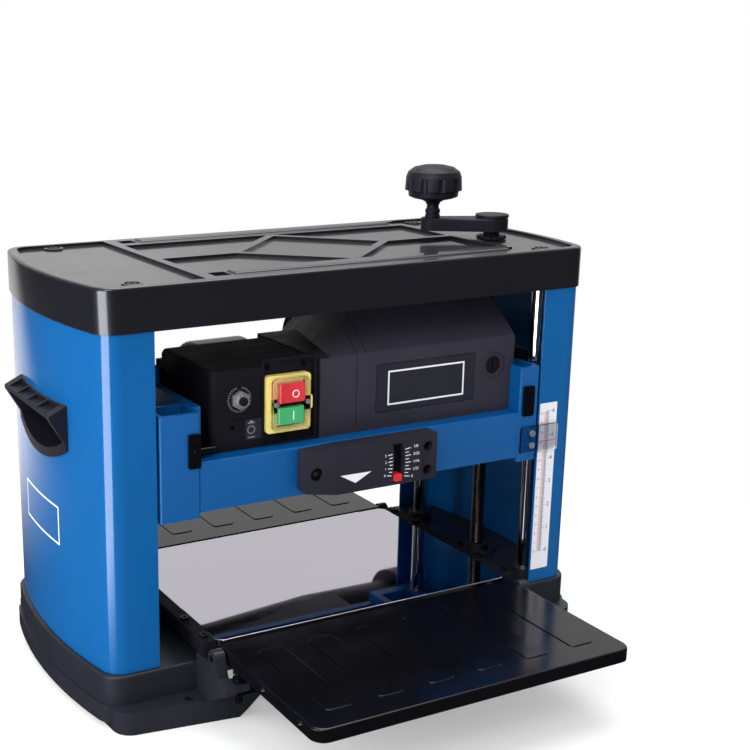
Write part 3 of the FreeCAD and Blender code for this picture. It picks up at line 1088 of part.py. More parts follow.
def levelling_bolts():
    """Adjusting bolts under the table skirts, with their lock nuts."""
    pieces = []
    for x in (-BOLT_X, BOLT_X):
        for y, lug_top, bottom in ((INFEED_BOLT_Y, LUG_TOP_INFEED, 30),
                                   (OUTFEED_BOLT_Y, LUG_TOP_OUTFEED, DECK_TOP)):
            head = hexagon_z(6, x, y, BOLT_TOP - 3.6, BOLT_TOP)
            pieces.append(fuse(head, cyl(BOLT_R, x, y, bottom, Z_AXIS, BOLT_TOP - 3 - bottom)))
            pieces.append(hexagon_z(6.4, x, y, lug_top, lug_top + 3.8).cut(cyl(BOLT_R, x, y, 0, Z_AXIS, FAR)))
        lower_nut = hexagon_z(6.4, x, INFEED_BOLT_Y, 37.5, 43)
        pieces.append(lower_nut.cut(cyl(BOLT_R, x, INFEED_BOLT_Y, 0, Z_AXIS, FAR)))
    return compound(pieces)


PIECES = {
    "base_casting": base_casting,
    "bed_plate": bed_plate,
    "bed_side_strips": bed_side_strips,
    "frame_screws": frame_screws,
    "left_side_shell": side_shell,
    "right_side_shell": lambda: mirror_x(side_shell()),
    "left_handle": handle,
    "right_handle": lambda: mirror_x(handle()),
    "top_cover": top_cover,
    "column_top_plates": column_top_plates,
    "guide_columns": guide_columns,
    "screw_bearing_flanges": screw_bearing_flanges,
    "sync_chain": sync_chain,
    "height_scale": height_scale,
    "infeed_hinge_brackets": infeed_hinge_brackets,
    "outfeed_hinge_brackets": outfeed_hinge_brackets,
    "levelling_bolts": levelling_bolts,
    "right_lead_screw": right_lead_screw,
    "left_lead_screw": left_lead_screw,
    "right_sprocket": lambda: sprocket(COLUMN_X),
    "left_sprocket": lambda: sprocket(-COLUMN_X),
    "crank_arm": crank_arm,
    "crank_hub_cap": crank_hub_cap,
    "crank_knob": crank_knob,
    "carriage_casting": carriage_casting,
    "carriage_bushings": carriage_bushings,
    "lead_screw_nuts": lead_screw_nuts,
    "motor_housing": motor_housing,
    "switch_housing": switch_housing,
    "switch_plate": switch_plate,
    "button_guard": button_guard,
    "stop_button": stop_button,
    "start_button": start_button,
    "breaker_nut": breaker_nut,
    "breaker_button": breaker_button,
    "rating_plates": rating_plates,
    "brush_caps": brush_caps,
    "motor_stator": motor_stator,
    "motor_armature": motor_armature,
    "drive_belt": drive_belt,
    "cutterhead_block": cutterhead_block,
    "cutter_knives": cutter_knives,
    "knife_clamps": knife_clamps,
    "cutterhead_pulley": cutterhead_pulley,
    "shaft_bearings": shaft_bearings,
    "infeed_roller": lambda: feed_roller(INFEED_ROLLER_Y),
    "outfeed_roller": lambda: feed_roller(OUTFEED_ROLLER_Y),
    "roller_bearing_blocks": roller_bearing_blocks,
    "pawl_shaft": pawl_shaft,
    "anti_kickback_pawls": anti_kickback_pawls,
    "side_brackets": side_brackets,
    "gauge_housing": gauge_housing,
    "gauge_pointer": gauge_pointer,
    "height_pointer": height_pointer,
    "carriage_screws": carriage_screws,
    "chip_deflector": chip_deflector,
    "dust_hood": dust_hood,
    "power_cord": power_cord,
    "infeed_table": infeed_table,
    "outfeed_table": outfeed_table,
}

for name, make in PIECES.items():
    shape = make()
    shape.exportStep(f"parts/{name}.step")
    print(name, "solids", len(shape.Solids), "volume", round(shape.Volume), "valid", shape.isValid())
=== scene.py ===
import bmesh
import bpy
import math
from mathutils import Matrix, Vector


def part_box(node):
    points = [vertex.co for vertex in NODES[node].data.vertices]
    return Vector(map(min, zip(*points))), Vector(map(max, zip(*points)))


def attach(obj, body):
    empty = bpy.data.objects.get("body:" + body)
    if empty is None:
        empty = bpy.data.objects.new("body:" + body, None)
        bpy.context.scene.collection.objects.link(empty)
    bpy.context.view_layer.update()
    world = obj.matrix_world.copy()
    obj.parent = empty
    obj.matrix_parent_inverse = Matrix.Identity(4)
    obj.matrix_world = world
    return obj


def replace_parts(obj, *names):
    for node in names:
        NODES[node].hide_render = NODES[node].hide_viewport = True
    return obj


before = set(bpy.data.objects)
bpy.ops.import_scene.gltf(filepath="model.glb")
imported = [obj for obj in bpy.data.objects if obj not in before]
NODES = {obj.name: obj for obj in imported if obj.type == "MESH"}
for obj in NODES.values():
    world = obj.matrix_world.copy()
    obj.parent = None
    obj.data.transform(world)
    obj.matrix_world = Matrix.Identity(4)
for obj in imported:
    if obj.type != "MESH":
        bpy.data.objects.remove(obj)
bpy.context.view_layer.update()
MM = 0.001


# ---- materials ----
def linear(code):
    """Linear colour from a six digit sRGB hex code."""
    channels = [int(code[i:i + 2], 16) / 255 for i in (0, 2, 4)]
    return [c / 12.92 if c <= 0.04045 else ((c + 0.055) / 1.055) ** 2.4 for c in channels] + [1.0]


def shaded(colour, factor):
    """Lighter or darker copy of a linear colour."""
    return [min(1.0, c * factor) for c in colour[:3]] + [1.0]


class Surface:
    """A node material that starts from a base colour, with helpers that add detail to it."""

    def __init__(self, name, code, roughness, metallic=0.0, stretch=(1, 1, 1)):
        self.name = name
        self.material = bpy.data.materials.new("look_" + name)
        self.material.use_nodes = True
        self.tree = self.material.node_tree
        self.shader = self.tree.nodes["Principled BSDF"]
        self.base = linear(code)
        self.roughness = roughness
        self.shader.inputs["Metallic"].default_value = metallic
        self.place = self.add("ShaderNodeTexCoord")
        self.mapping = self.add("ShaderNodeMapping")
        self.mapping.inputs["Scale"].default_value = stretch
        self.link(self.place.outputs["Object"], self.mapping.inputs["Vector"])
        self.height = None

    def add(self, kind):
        return self.tree.nodes.new(kind)

    def link(self, source, target):
        self.tree.links.new(source, target)

    def noise(self, scale, detail=3.0, rough=0.5):
        """Noise value at the point, in the object's own coordinates."""
        node = self.add("ShaderNodeTexNoise")
        node.inputs["Scale"].default_value = scale
        node.inputs["Detail"].default_value = detail
        node.inputs["Roughness"].default_value = rough
        self.link(self.mapping.outputs["Vector"], node.inputs["Vector"])
        return node.outputs["Fac"]

    def spread(self, value, low, high, start=0.3, end=0.7):
        """Map a texture value onto a range."""
        node = self.add("ShaderNodeMapRange")
        self.link(value, node.inputs["Value"])
        for name, number in (("From Min", start), ("From Max", end), ("To Min", low), ("To Max", high)):
            node.inputs[name].default_value = number
        return node.outputs["Result"]

    def blend_colour(self, factor, first, second):
        """Mix two colours, each a socket or a plain value, and use the result as the base colour."""
        mix = self.add("ShaderNodeMix")
        mix.data_type = "RGBA"
        self.link(factor, mix.inputs["Factor"])
        for name, colour in (("A", first), ("B", second)):
            if isinstance(colour, list):
                mix.inputs[name].default_value = colour
            else:
                self.link(colour, mix.inputs[name])
        self.colour = mix.outputs["Result"]
        self.link(self.colour, self.shader.inputs["Base Color"])
        return self

    def mottle(self, scale, amount, rough_amount):
        """Broad, faint changes of tone and gloss."""
        cloud = self.spread(self.noise(scale, 5.0), 0, 1)
        self.blend_colour(cloud, shaded(self.base, 1 - amount), shaded(self.base, 1 + amount))
        low, high = max(0.02, self.roughness - rough_amount), self.roughness + rough_amount
        self.link(self.spread(self.noise(scale * 3, 6.0, 0.6), low, high), self.shader.inputs["Roughness"])
        return self

    def grain(self, scale, depth, detail=2.0):
        """Fine relief; depth is its height in metres."""
        bump = self.add("ShaderNodeBump")
        bump.inputs["Distance"].default_value = depth
        bump.inputs["Strength"].default_value = 1.0
        self.link(self.noise(scale, detail), bump.inputs["Height"])
        if self.height:
            self.link(self.height, bump.inputs["Normal"])
        self.height = bump.outputs["Normal"]
        self.link(self.height, self.shader.inputs["Normal"])
        return self

    def edge_wear(self, code, amount):
        """Lighter tone where the surface turns sharply outwards; flat faces have pointiness 0.5."""
        blunt, sharp = 0.52, 0.62
        geometry = self.add("ShaderNodeNewGeometry")
        worn = self.spread(geometry.outputs["Pointiness"], 0, amount, blunt, sharp)
        return self.blend_colour(worn, self.colour, linear(code))

    def beyond_x(self, x, code):
        """Another colour for everything to the right of x."""
        transition = 0.1 * MM
        split = self.add("ShaderNodeSeparateXYZ")
        self.link(self.place.outputs["Object"], split.inputs["Vector"])
        side = self.spread(split.outputs["X"], 0, 1, x, x + transition)
        return self.blend_colour(side, self.colour, linear(code))

    def shine(self, level):
        self.shader.inputs["Specular IOR Level"].default_value = level
        return self

    def coat(self, weight, roughness=0.05):
        self.shader.inputs["Coat Weight"].default_value = weight
        self.shader.inputs["Coat Roughness"].default_value = roughness
        return self

    def clear(self, ior):
        self.shader.inputs["Transmission Weight"].default_value = 1.0
        self.shader.inputs["IOR"].default_value = ior
        return self


def blue_enamel():
    """Glossy stove enamel on sheet steel."""
    surface = Surface("blue_enamel", "005898", 0.4).mottle(9, 0.025, 0.04).grain(1500, 0.000001)
    return surface.shine(0.1).coat(0.9, 0.05)


def blue_casting():
    """Painted casting with a slight relief under the paint."""
    surface = Surface("blue_casting", "005496", 0.4).mottle(14, 0.05, 0.06).grain(700, 0.00003)
    return surface.shine(0.2).coat(0.2, 0.2)


def black_casting():
    """Black casting, a little lighter along its sharp edges."""
    surface = Surface("black_casting", "24262F", 0.36).mottle(12, 0.12, 0.08).grain(520, 0.00004)
    return surface.shine(0.4).edge_wear("44434E", 0.25)


def black_cover():
    """Glossy moulded cover."""
    surface = Surface("black_cover", "18171F", 0.35).mottle(8, 0.1, 0.04).grain(1500, 0.000002)
    return surface.shine(0.4).coat(0.75, 0.06)


def black_table():
    """Glossy black powder coat."""
    return Surface("black_table", "08070B", 0.16).mottle(10, 0.1, 0.04).grain(1200, 0.000002).shine(0.5)


def moulding(name, code, roughness, patchiness, shine):
    """Dull moulded plastic with a fine leather grain."""
    surface = Surface(name, code, roughness).mottle(16, patchiness, 0.07)
    return surface.grain(1500, 0.00003, 4.0).shine(shine)


def crank_moulding():
    """Smoother moulded plastic of the crank, the handles and the hood."""
    surface = Surface("crank_moulding", "1C1B24", 0.45).mottle(20, 0.1, 0.06)
    return surface.grain(1200, 0.00002, 4.0).shine(0.25)


def push_button(name, code, gloss):
    """Glossy coloured plastic."""
    surface = Surface(name, code, 0.2).mottle(30, 0.04, 0.05).grain(1200, 0.000004)
    return surface.coat(gloss, 0.1)


def polished_bed():
    """Mirror polished stainless steel, with faint polishing lines from left to right."""
    return Surface("polished_bed", "D4CFDA", 0.03, 1.0, (6, 60, 6)).mottle(1, 0.01, 0.008)


def chromed_rod():
    """Hard chrome with faint rings from grinding."""
    return Surface("chromed_rod", "D9D9DE", 0.08, 1.0, (1, 1, 12)).mottle(20, 0.03, 0.02)


def machined_metal(name, code, roughness, metallic, mottling, relief):
    """Turned or milled metal; mottling is the scale and the changes of tone and gloss."""
    return Surface(name, code, roughness, metallic).mottle(*mottling).grain(900, relief)


def deflector_sheet():
    """Pale sheet with faint rolling lines along its length; its near-white base colour is a painted
    reflection, standing in for the bright sheen of the steel plate under the cover.
    """
    return Surface("deflector_sheet", "F2F2F6", 0.35, 0.0, (1, 40, 40)).mottle(6, 0.04, 0.05)


def feed_rubber():
    """Rough, slightly porous rubber of the rollers and the belt."""
    return Surface("feed_rubber", "26262A", 0.7).mottle(30, 0.15, 0.08).grain(1300, 0.0001, 5.0)


def cord_rubber():
    """Dull sheath of the power cord."""
    return Surface("cord_rubber", "141416", 0.55).mottle(60, 0.2, 0.08).grain(1800, 0.00003)


def pointer_tip():
    """Black lever whose right-hand tip is red."""
    tip_start_x = 20 * MM
    return Surface("pointer_tip", "121216", 0.35).mottle(30, 0.1, 0.05).beyond_x(tip_start_x, "D8242C")


def yellow_plate():
    """Moulded yellow plate behind the buttons."""
    return Surface("yellow_plate", "FBE480", 0.42).mottle(30, 0.03, 0.06).grain(1400, 0.00001)


def white_film():
    """Self-adhesive film of the height scale."""
    return Surface("white_film", "E4E4EC", 0.4).mottle(40, 0.02, 0.05).grain(900, 0.000003)


def clear_lens():
    """Clear plastic of the scale pointer and the button guard."""
    return Surface("clear_lens", "F6F9FC", 0.04).mottle(60, 0.01, 0.01).clear(1.3)


def ink(name, code, roughness, patchiness):
    """Printed or raised marks."""
    return Surface(name, code, roughness).mottle(80, patchiness, 0.05)


MATERIALS = {surface.name: surface.material for surface in (
    blue_enamel(),
    blue_casting(),
    black_casting(),
    black_cover(),
    black_table(),
    moulding("black_moulding", "34323E", 0.5, 0.1, 0.25),
    # The switch moulding is the motor housing's plastic with a darker base colour: painted shade for the
    # switch housing under the top cover. It is also duller.
    moulding("switch_moulding", "19181F", 0.6, 0.12, 0.08),
    moulding("gauge_moulding", "292834", 0.5, 0.12, 0.25),
    crank_moulding(),
    push_button("red_button", "D0303A", 0.5),
    push_button("green_button", "40AC6C", 0.3),
    polished_bed(),
    chromed_rod(),
    machined_metal("plain_steel", "9A9CA2", 0.32, 1.0, (40, 0.08, 0.08), 0.00001),
    machined_metal("zinc_screws", "A9ABB4", 0.3, 0.6, (60, 0.06, 0.06), 0.000004),
    machined_metal("dark_steel", "232226", 0.36, 0.8, (60, 0.15, 0.1), 0.00002),
    machined_metal("thread_steel", "5A544E", 0.34, 1.0, (60, 0.15, 0.1), 0.00001),
    machined_metal("bronze", "9A7436", 0.35, 1.0, (50, 0.12, 0.1), 0.00001),
    deflector_sheet(),
    feed_rubber(),
    cord_rubber(),
    pointer_tip(),
    yellow_plate(),
    white_film(),
    clear_lens(),
    ink("black_ink", "1C1B24", 0.5, 0.1),
    ink("red_ink", "D2505C", 0.5, 0.05),
    ink("white_ink", "ECECF2", 0.45, 0.02),
    ink("grey_ink", "86868E", 0.45, 0.03),
)}

NODE_MATERIALS = {
    "blue_enamel": ["left_side_shell", "right_side_shell"],
    "blue_casting": ["carriage_casting"],
    "black_casting": ["base_casting", "infeed_hinge_brackets", "outfeed_hinge_brackets",
                      "screw_bearing_flanges"],
    "black_cover": ["top_cover"],
    "black_table": ["infeed_table", "outfeed_table", "column_top_plates", "side_brackets"],
    "black_moulding": ["motor_housing"],
    "switch_moulding": ["switch_housing", "bed_side_strips", "breaker_button", "brush_caps"],
    "gauge_moulding": ["gauge_housing", "rating_plates"],
    "crank_moulding": ["crank_arm", "crank_hub_cap", "crank_knob", "left_handle", "right_handle",
                       "dust_hood"],
    "red_button": ["stop_button"],
    "green_button": ["start_button"],
    "polished_bed": ["bed_plate"],
    "chromed_rod": ["guide_columns"],
    "plain_steel": ["motor_stator", "motor_armature", "cutterhead_block", "cutter_knives",
                    "knife_clamps", "cutterhead_pulley", "shaft_bearings", "pawl_shaft",
                    "anti_kickback_pawls"],
    "zinc_screws": ["breaker_nut"],
    "dark_steel": ["left_lead_screw", "right_lead_screw", "left_sprocket", "right_sprocket",
                   "sync_chain", "levelling_bolts", "frame_screws", "carriage_screws"],
    "bronze": ["carriage_bushings", "lead_screw_nuts", "roller_bearing_blocks"],
    "deflector_sheet": ["chip_deflector"],
    "feed_rubber": ["infeed_roller", "outfeed_roller", "drive_belt"],
    "cord_rubber": ["power_cord"],
    "pointer_tip": ["gauge_pointer"],
    "yellow_plate": ["switch_plate"],
    "white_film": ["height_scale"],
    "clear_lens": ["button_guard", "height_pointer"],
}
FINE_NODES = {"height_scale", "height_pointer", "rating_plates"}
FINE_EDGE = 0.15 * MM
COMMON_EDGE = 0.4 * MM


def paint(piece, material_name):
    piece.data.materials.clear()
    piece.data.materials.append(MATERIALS[material_name])


def soften(piece, width):
    """Round the sharp edges a little, smooth the curved faces and keep the flat ones flat."""
    weld = piece.modifiers.new("weld", "WELD")
    weld.merge_threshold = 0.01 * MM
    bevel = piece.modifiers.new("bevel", "BEVEL")
    bevel.width = width
    bevel.segments = 2
    bevel.limit_method = "ANGLE"
    bevel.angle_limit = math.radians(30)
    bevel.use_clamp_overlap = True
    weighted = piece.modifiers.new("weighted", "WEIGHTED_NORMAL")
    weighted.mode = "FACE_AREA"
    weighted.weight = 100
    weighted.keep_sharp = False
    for polygon in piece.data.polygons:
        polygon.use_smooth = True


for material_name, node_names in NODE_MATERIALS.items():
    for node_name in node_names:
        paint(NODES[node_name], material_name)
        soften(NODES[node_name], FINE_EDGE if node_name in FINE_NODES else COMMON_EDGE)


def is_bright_carriage_screw(centre):
    """Guard and lens screws are plated; the bracket, switch bay and gauge screws are black."""
    x, y, z = centre / MM
    on_guard = x < -40 and y < -119 and z > 270
    on_lens = x > 150 and z < 230
    return on_guard or on_lens


def paint_bright_screws():
    """Second material on the faces of the plated screws."""
    screws = NODES["carriage_screws"]
    screws.data.materials.append(MATERIALS["zinc_screws"])
    for polygon in screws.data.polygons:
        if is_bright_carriage_screw(polygon.center):
            polygon.material_index = 1


paint_bright_screws()


# ---- printed marks ----
def new_piece(name, mesh, body, material_name):
    piece = bpy.data.objects.new(name, mesh)
    bpy.context.scene.collection.objects.link(piece)
    mesh.materials.append(MATERIALS[material_name])
    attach(piece, body)
    return piece


INK_THICKNESS = 0.06


class Print:
    """Thin raised ink on an upright plane that faces the front; lengths in millimetres."""

    def __init__(self, name, body, material_name, y, thick=INK_THICKNESS):
        self.name, self.body, self.material_name = name, body, material_name
        self.back, self.front = y * MM, (y - thick) * MM
        self.ink = bmesh.new()

    def polygon(self, points):
        """Closed slab over an outline of (x, z) points."""
        front = [self.ink.verts.new((x * MM, self.front, z * MM)) for x, z in points]
        back = [self.ink.verts.new((x * MM, self.back, z * MM)) for x, z in points]
        self.ink.faces.new(front)
        self.ink.faces.new(back[::-1])
        for index in range(len(points)):
            following = (index + 1) % len(points)
            self.ink.faces.new((front[index], back[index], back[following], front[following]))

    def bar(self, x0, x1, z0, z1):
        self.polygon([(x0, z0), (x1, z0), (x1, z1), (x0, z1)])

    def stroke(self, start, end, width):
        """Straight line from one (x, z) point to another."""
        along = Vector(end) - Vector(start)
        across = Vector((-along.y, along.x)).normalized() * (width / 2)
        first, last = Vector(start), Vector(end)
        corners = (first - across, last - across, last + across, first + across)
        self.polygon([tuple(corner) for corner in corners])

    def outline(self, x0, x1, z0, z1, width):
        """Empty rectangular border."""
        self.bar(x0, x1, z0, z0 + width)
        self.bar(x0, x1, z1 - width, z1)
        self.bar(x0, x0 + width, z0 + width, z1 - width)
        self.bar(x1 - width, x1, z0 + width, z1 - width)

    def ring(self, x, z, radius, width, steps=40):
        """Circular line; radius is its outer one."""
        def at(reach, step):
            angle = 2 * math.pi * step / steps
            return x + reach * math.cos(angle), z + reach * math.sin(angle)
        for step in range(steps):
            self.polygon([at(radius - width, step), at(radius, step), at(radius, step + 1),
                          at(radius - width, step + 1)])

    def digits(self, text, size, x, z, tilt=0.0):
        """Numerals centred on a point."""
        curve = bpy.data.curves.new("digits", "FONT")
        curve.body, curve.size = text, size * MM
        curve.align_x, curve.align_y = "CENTER", "CENTER"
        curve.resolution_u = 3
        curve.extrude = (self.back - self.front) / 2
        holder = bpy.data.objects.new("digits", curve)
        mesh = holder.to_mesh()
        upright = Matrix.Rotation(math.pi / 2, 4, "X")
        tilted = Matrix.Rotation(-math.radians(tilt), 4, "Y")
        place = Matrix.Translation((x * MM, (self.front + self.back) / 2, z * MM))
        mesh.transform(place @ tilted @ upright)
        self.ink.from_mesh(mesh)
        holder.to_mesh_clear()
        bpy.data.objects.remove(holder)

    def finish(self):
        mesh = bpy.data.meshes.new(self.name)
        bmesh.ops.recalc_face_normals(self.ink, faces=self.ink.faces)
        self.ink.to_mesh(mesh)
        return new_piece(self.name, mesh, self.body, self.material_name)


def extent(node):
    """Lowest corner, middle and highest corner of a node at rest, in millimetres."""
    low, high = (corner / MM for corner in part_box(node))
    return low, (low + high) / 2, high


INCH = 25.4
SCALE_CORNER = extent("height_scale")[0]
SCALE_FACE_Y = SCALE_CORNER.y
SCALE_SPINE_X = SCALE_CORNER.x + 8.7
SCALE_ZERO_Z = SCALE_CORNER.z + 20
SCALE_INCHES = 6
SPINE_GAP = 0.2


def tick_length(step, lengths):
    """Length of the coarsest division that the step falls on."""
    return next(length for division, length in lengths if step % division == 0)


def add_inch_marks():
    """Ticks of 1/32 inch to the right of the spine of the height scale, and their numbers."""
    number_x, number_size, half_width = SCALE_SPINE_X + 8.9, 6.5, 0.17
    start_x = SCALE_SPINE_X + SPINE_GAP
    parts = 32
    lengths = ((parts, 6.2), (8, 4.6), (4, 3.6), (1, 2.6))
    marks = Print("height_scale_inch_marks", "frame", "black_ink", SCALE_FACE_Y)
    for step in range(SCALE_INCHES * parts + 1):
        z = SCALE_ZERO_Z + step * INCH / parts
        marks.bar(start_x, start_x + tick_length(step, lengths), z - half_width, z + half_width)
    for number in range(SCALE_INCHES + 1):
        marks.digits(str(number), number_size, number_x, SCALE_ZERO_Z + number * INCH)
    marks.finish()


def add_metric_marks():
    """Millimetre ticks to the left of the spine of the height scale, numbered in centimetres."""
    number_x, number_size, half_width = SCALE_SPINE_X - 6.1, 3.8, 0.2
    end_x = SCALE_SPINE_X - SPINE_GAP
    lengths = ((10, 3.6), (5, 2.8), (1, 2.0))
    marks = Print("height_scale_metric_marks", "frame", "red_ink", SCALE_FACE_Y)
    whole_millimetres = int(SCALE_INCHES * INCH)
    for step in range(whole_millimetres + 1):
        z = SCALE_ZERO_Z + step
        marks.bar(end_x - tick_length(step, lengths), end_x, z - half_width, z + half_width)
    for number in range(whole_millimetres // 10 + 1):
        marks.digits(str(number), number_size, number_x, SCALE_ZERO_Z + number * 10)
    marks.finish()


GAUGE_PIVOT = (-59.6, 217.0)
GAUGE_ZERO_ANGLE = -8.8
GAUGE_DEGREES_PER_MM = 5.04
GAUGE_FACE_Y = extent("gauge_housing")[0].y
GAUGE_TICK_WIDTH = 0.75


def gauge_point(reach, angle):
    """Point at a distance from the lever's pivot, at an angle in degrees above level."""
    turn = math.radians(angle)
    return GAUGE_PIVOT[0] + reach * math.cos(turn), GAUGE_PIVOT[1] + reach * math.sin(turn)


def gauge_angle(millimetres):
    """Direction of the lever at a depth of cut."""
    return GAUGE_ZERO_ANGLE + millimetres * GAUGE_DEGREES_PER_MM


def draw_gauge_inches(marks):
    """Ticks of 1/64 inch to the right of the pointer slot, numbered at each 1/32."""
    start, short_end, long_end = 95.4, 99.3, 101.5
    for step in range(9):
        angle = gauge_angle(step * INCH / 64)
        end = short_end if step % 2 else long_end
        marks.stroke(gauge_point(start, angle), gauge_point(end, angle), GAUGE_TICK_WIDTH)
    for step, text in enumerate(("0", "1/32", "1/16", "3/32", "1/8")):
        angle = gauge_angle(step * INCH / 32)
        reach = 107.5 if step else 104.5
        marks.digits(text, 4.0, *gauge_point(reach, angle), tilt=-angle / 3)


def draw_gauge_millimetres(marks):
    """Ticks of half a millimetre to the left of the pointer slot, numbered at each millimetre."""
    end, short_start, long_start, number_reach = 80.8, 77.4, 75.8, 73.2
    for step in range(7):
        angle = gauge_angle(step / 2)
        start = short_start if step % 2 else long_start
        marks.stroke(gauge_point(start, angle), gauge_point(end, angle), GAUGE_TICK_WIDTH)
    for number in range(4):
        marks.digits(str(number), 3.6, *gauge_point(number_reach, gauge_angle(number)))


def draw_gauge_triangle(marks):
    """Triangle that points down, between the two windows."""
    marks.polygon([(-36.3, 213.1), (-19.8, 203.9), (-2.4, 212.8)])


def add_gauge_marks():
    marks = Print("gauge_marks", "carriage", "white_ink", GAUGE_FACE_Y)
    draw_gauge_inches(marks)
    draw_gauge_millimetres(marks)
    draw_gauge_triangle(marks)
    marks.finish()


def add_name_plate_border():
    """Plain border on the blank name plate, which lies a little below the housing's face."""
    plate_depth, left, right, low, high, width = 0.2, 38.7, 128.5, 262.0, 296.3, 1.7
    housing_corner = extent("motor_housing")[0]
    border = Print("name_plate_border", "carriage", "white_ink", housing_corner.y + plate_depth)
    border.outline(left, right, low, high, width)
    border.finish()


def add_breaker_marks():
    """Ring of short dashes around the breaker's nut, with a gap at the top."""
    count, inner, outer, width, half_gap = 30, 10.4, 12.2, 0.8, 0.15
    _, middle, nut_back = extent("breaker_nut")
    centre = Vector((middle.x, middle.z))
    marks = Print("breaker_marks", "carriage", "grey_ink", nut_back.y)
    for step in range(count):
        angle = 2 * math.pi * step / count
        if abs(angle - math.pi / 2) > half_gap:
            direction = Vector((math.cos(angle), math.sin(angle)))
            marks.stroke(tuple(centre + direction * inner), tuple(centre + direction * outer), width)
    marks.finish()


def add_symbol_plate_marks():
    """Generic ring between two bars, on the small plate beside the switch."""
    plate_corner = extent("rating_plates")[0]
    x, z = plate_corner.x + 6, plate_corner.z + 9.5
    half_bar, half_stem, ring_radius, ring_width = 3.5, 1.3, 4.0, 0.8
    symbol = Print("symbol_plate_marks", "carriage", "grey_ink", plate_corner.y)
    symbol.ring(x, z, ring_radius, ring_width)
    symbol.bar(x - half_bar, x + half_bar, z + 6.0, z + 7.2)
    symbol.bar(x - half_bar, x + half_bar, z - 7.6, z - 6.6)
    symbol.bar(x - half_stem, x + half_stem, z + 7.2, z + 8.8)
    symbol.finish()


def add_stop_symbol():
    """Ring in the dished face of the stop button, thick enough to stand out of the curve."""
    low, middle, _ = extent("stop_button")
    symbol = Print("stop_symbol", "stop_push", "white_ink", low.y + 1.25, 0.5)
    symbol.ring(middle.x + 3.5, middle.z - 1.2, 3.6, 0.8)
    symbol.finish()


def add_start_symbol():
    """Upright bar on the start button."""
    half_width, half_height = 0.5, 4.3
    low, middle, _ = extent("start_button")
    x = middle.x + 1.9
    symbol = Print("start_symbol", "start_push", "white_ink", low.y)
    symbol.bar(x - half_width, x + half_width, middle.z - half_height, middle.z + half_height)
    symbol.finish()


def add_lens_hairline():
    """Reading line on the back of the clear pointer, over its right half."""
    half_width, end_gap, sunk = 0.3, 0.4, 0.02
    _, middle, high = extent("height_pointer")
    z = middle.z - 3.3
    hairline = Print("lens_hairline", "carriage", "red_ink", high.y + sunk, 0.05)
    hairline.bar(middle.x, high.x - end_gap, z - half_width, z + half_width)
    hairline.finish()


SHELL_LOW, _, SHELL_HIGH = extent("left_side_shell")
SIDE_BULGE = 17.0
SIDE_RADIUS = (SHELL_HIGH.y ** 2 + SIDE_BULGE ** 2) / (2 * SIDE_BULGE)
SLAB_FACES = ((0, 1, 2, 3), (7, 6, 5, 4), (0, 4, 5, 1), (1, 5, 6, 2), (2, 6, 7, 3), (3, 7, 4, 0))


def side_x(y):
    """X of the bowed side of the left shell at a depth y."""
    return SHELL_LOW.x + SIDE_RADIUS - math.sqrt(SIDE_RADIUS ** 2 - y * y)


def add_side_slab(builder, y0, y1, z0, z1):
    """Thin slab on the bowed side, between two depths and two heights."""
    corners = []
    for lift in (0.0, INK_THICKNESS):
        for y, z in ((y0, z0), (y1, z0), (y1, z1), (y0, z1)):
            corners.append(builder.verts.new(((side_x(y) - lift) * MM, y * MM, z * MM)))
    for face in SLAB_FACES:
        builder.faces.new([corners[index] for index in face])


def add_shell_border():
    """Plain border on the bowed side of the left shell, in place of a badge."""
    front, back, low, high, width, steps = -39.0, 57.0, 148.0, 186.0, 1.8, 16
    builder = bmesh.new()
    for step in range(steps):
        y0 = front + (back - front) * step / steps
        y1 = front + (back - front) * (step + 1) / steps
        add_side_slab(builder, y0, y1, low, low + width)
        add_side_slab(builder, y0, y1, high - width, high)
    add_side_slab(builder, front, front + width, low + width, high - width)
    add_side_slab(builder, back - width, back, low + width, high - width)
    bmesh.ops.recalc_face_normals(builder, faces=builder.faces)
    mesh = bpy.data.meshes.new("left_shell_border")
    builder.to_mesh(mesh)
    new_piece("left_shell_border", mesh, "frame", "white_ink")


# ---- threads of the lead screws ----
THREAD_PITCH = 2.0
THREAD_LOW, THREAD_HIGH = 50.0, 362.0
CREST_RADIUS, ROOT_RADIUS, TOP_SHAFT_RADIUS = 7.0, 6.1, 6.0
FLANK_STEEPNESS = 2.6
SEGMENTS = 24
ROWS_PER_TURN = 4


def thread_radius(z, turn):
    """Radius at a height, at a fraction of a turn around the axis."""
    phase = (z / THREAD_PITCH - turn) % 1.0
    fullness = min(1.0, FLANK_STEEPNESS * abs(phase - 0.5))
    return ROOT_RADIUS + (CREST_RADIUS - ROOT_RADIUS) * fullness


def screw_rows(bottom, top):
    """Heights of the rings of the mesh, each with whether it lies in the thread."""
    count = int((THREAD_HIGH - THREAD_LOW) / THREAD_PITCH * ROWS_PER_TURN)
    threaded = [(THREAD_LOW + step * THREAD_PITCH / ROWS_PER_TURN, True) for step in range(1, count)]
    return [(bottom, False), (THREAD_LOW, False)] + threaded + [(THREAD_HIGH, False), (top, False)]


def screw_ring(builder, axis, z, in_thread, plain_radius):
    """One ring of vertices around an upright axis."""
    ring = []
    for segment in range(SEGMENTS):
        turn = segment / SEGMENTS
        radius = thread_radius(z, turn) if in_thread else plain_radius
        angle = 2 * math.pi * turn
        x = axis.x + radius * math.cos(angle)
        y = axis.y + radius * math.sin(angle)
        ring.append(builder.verts.new((x * MM, y * MM, z * MM)))
    return ring


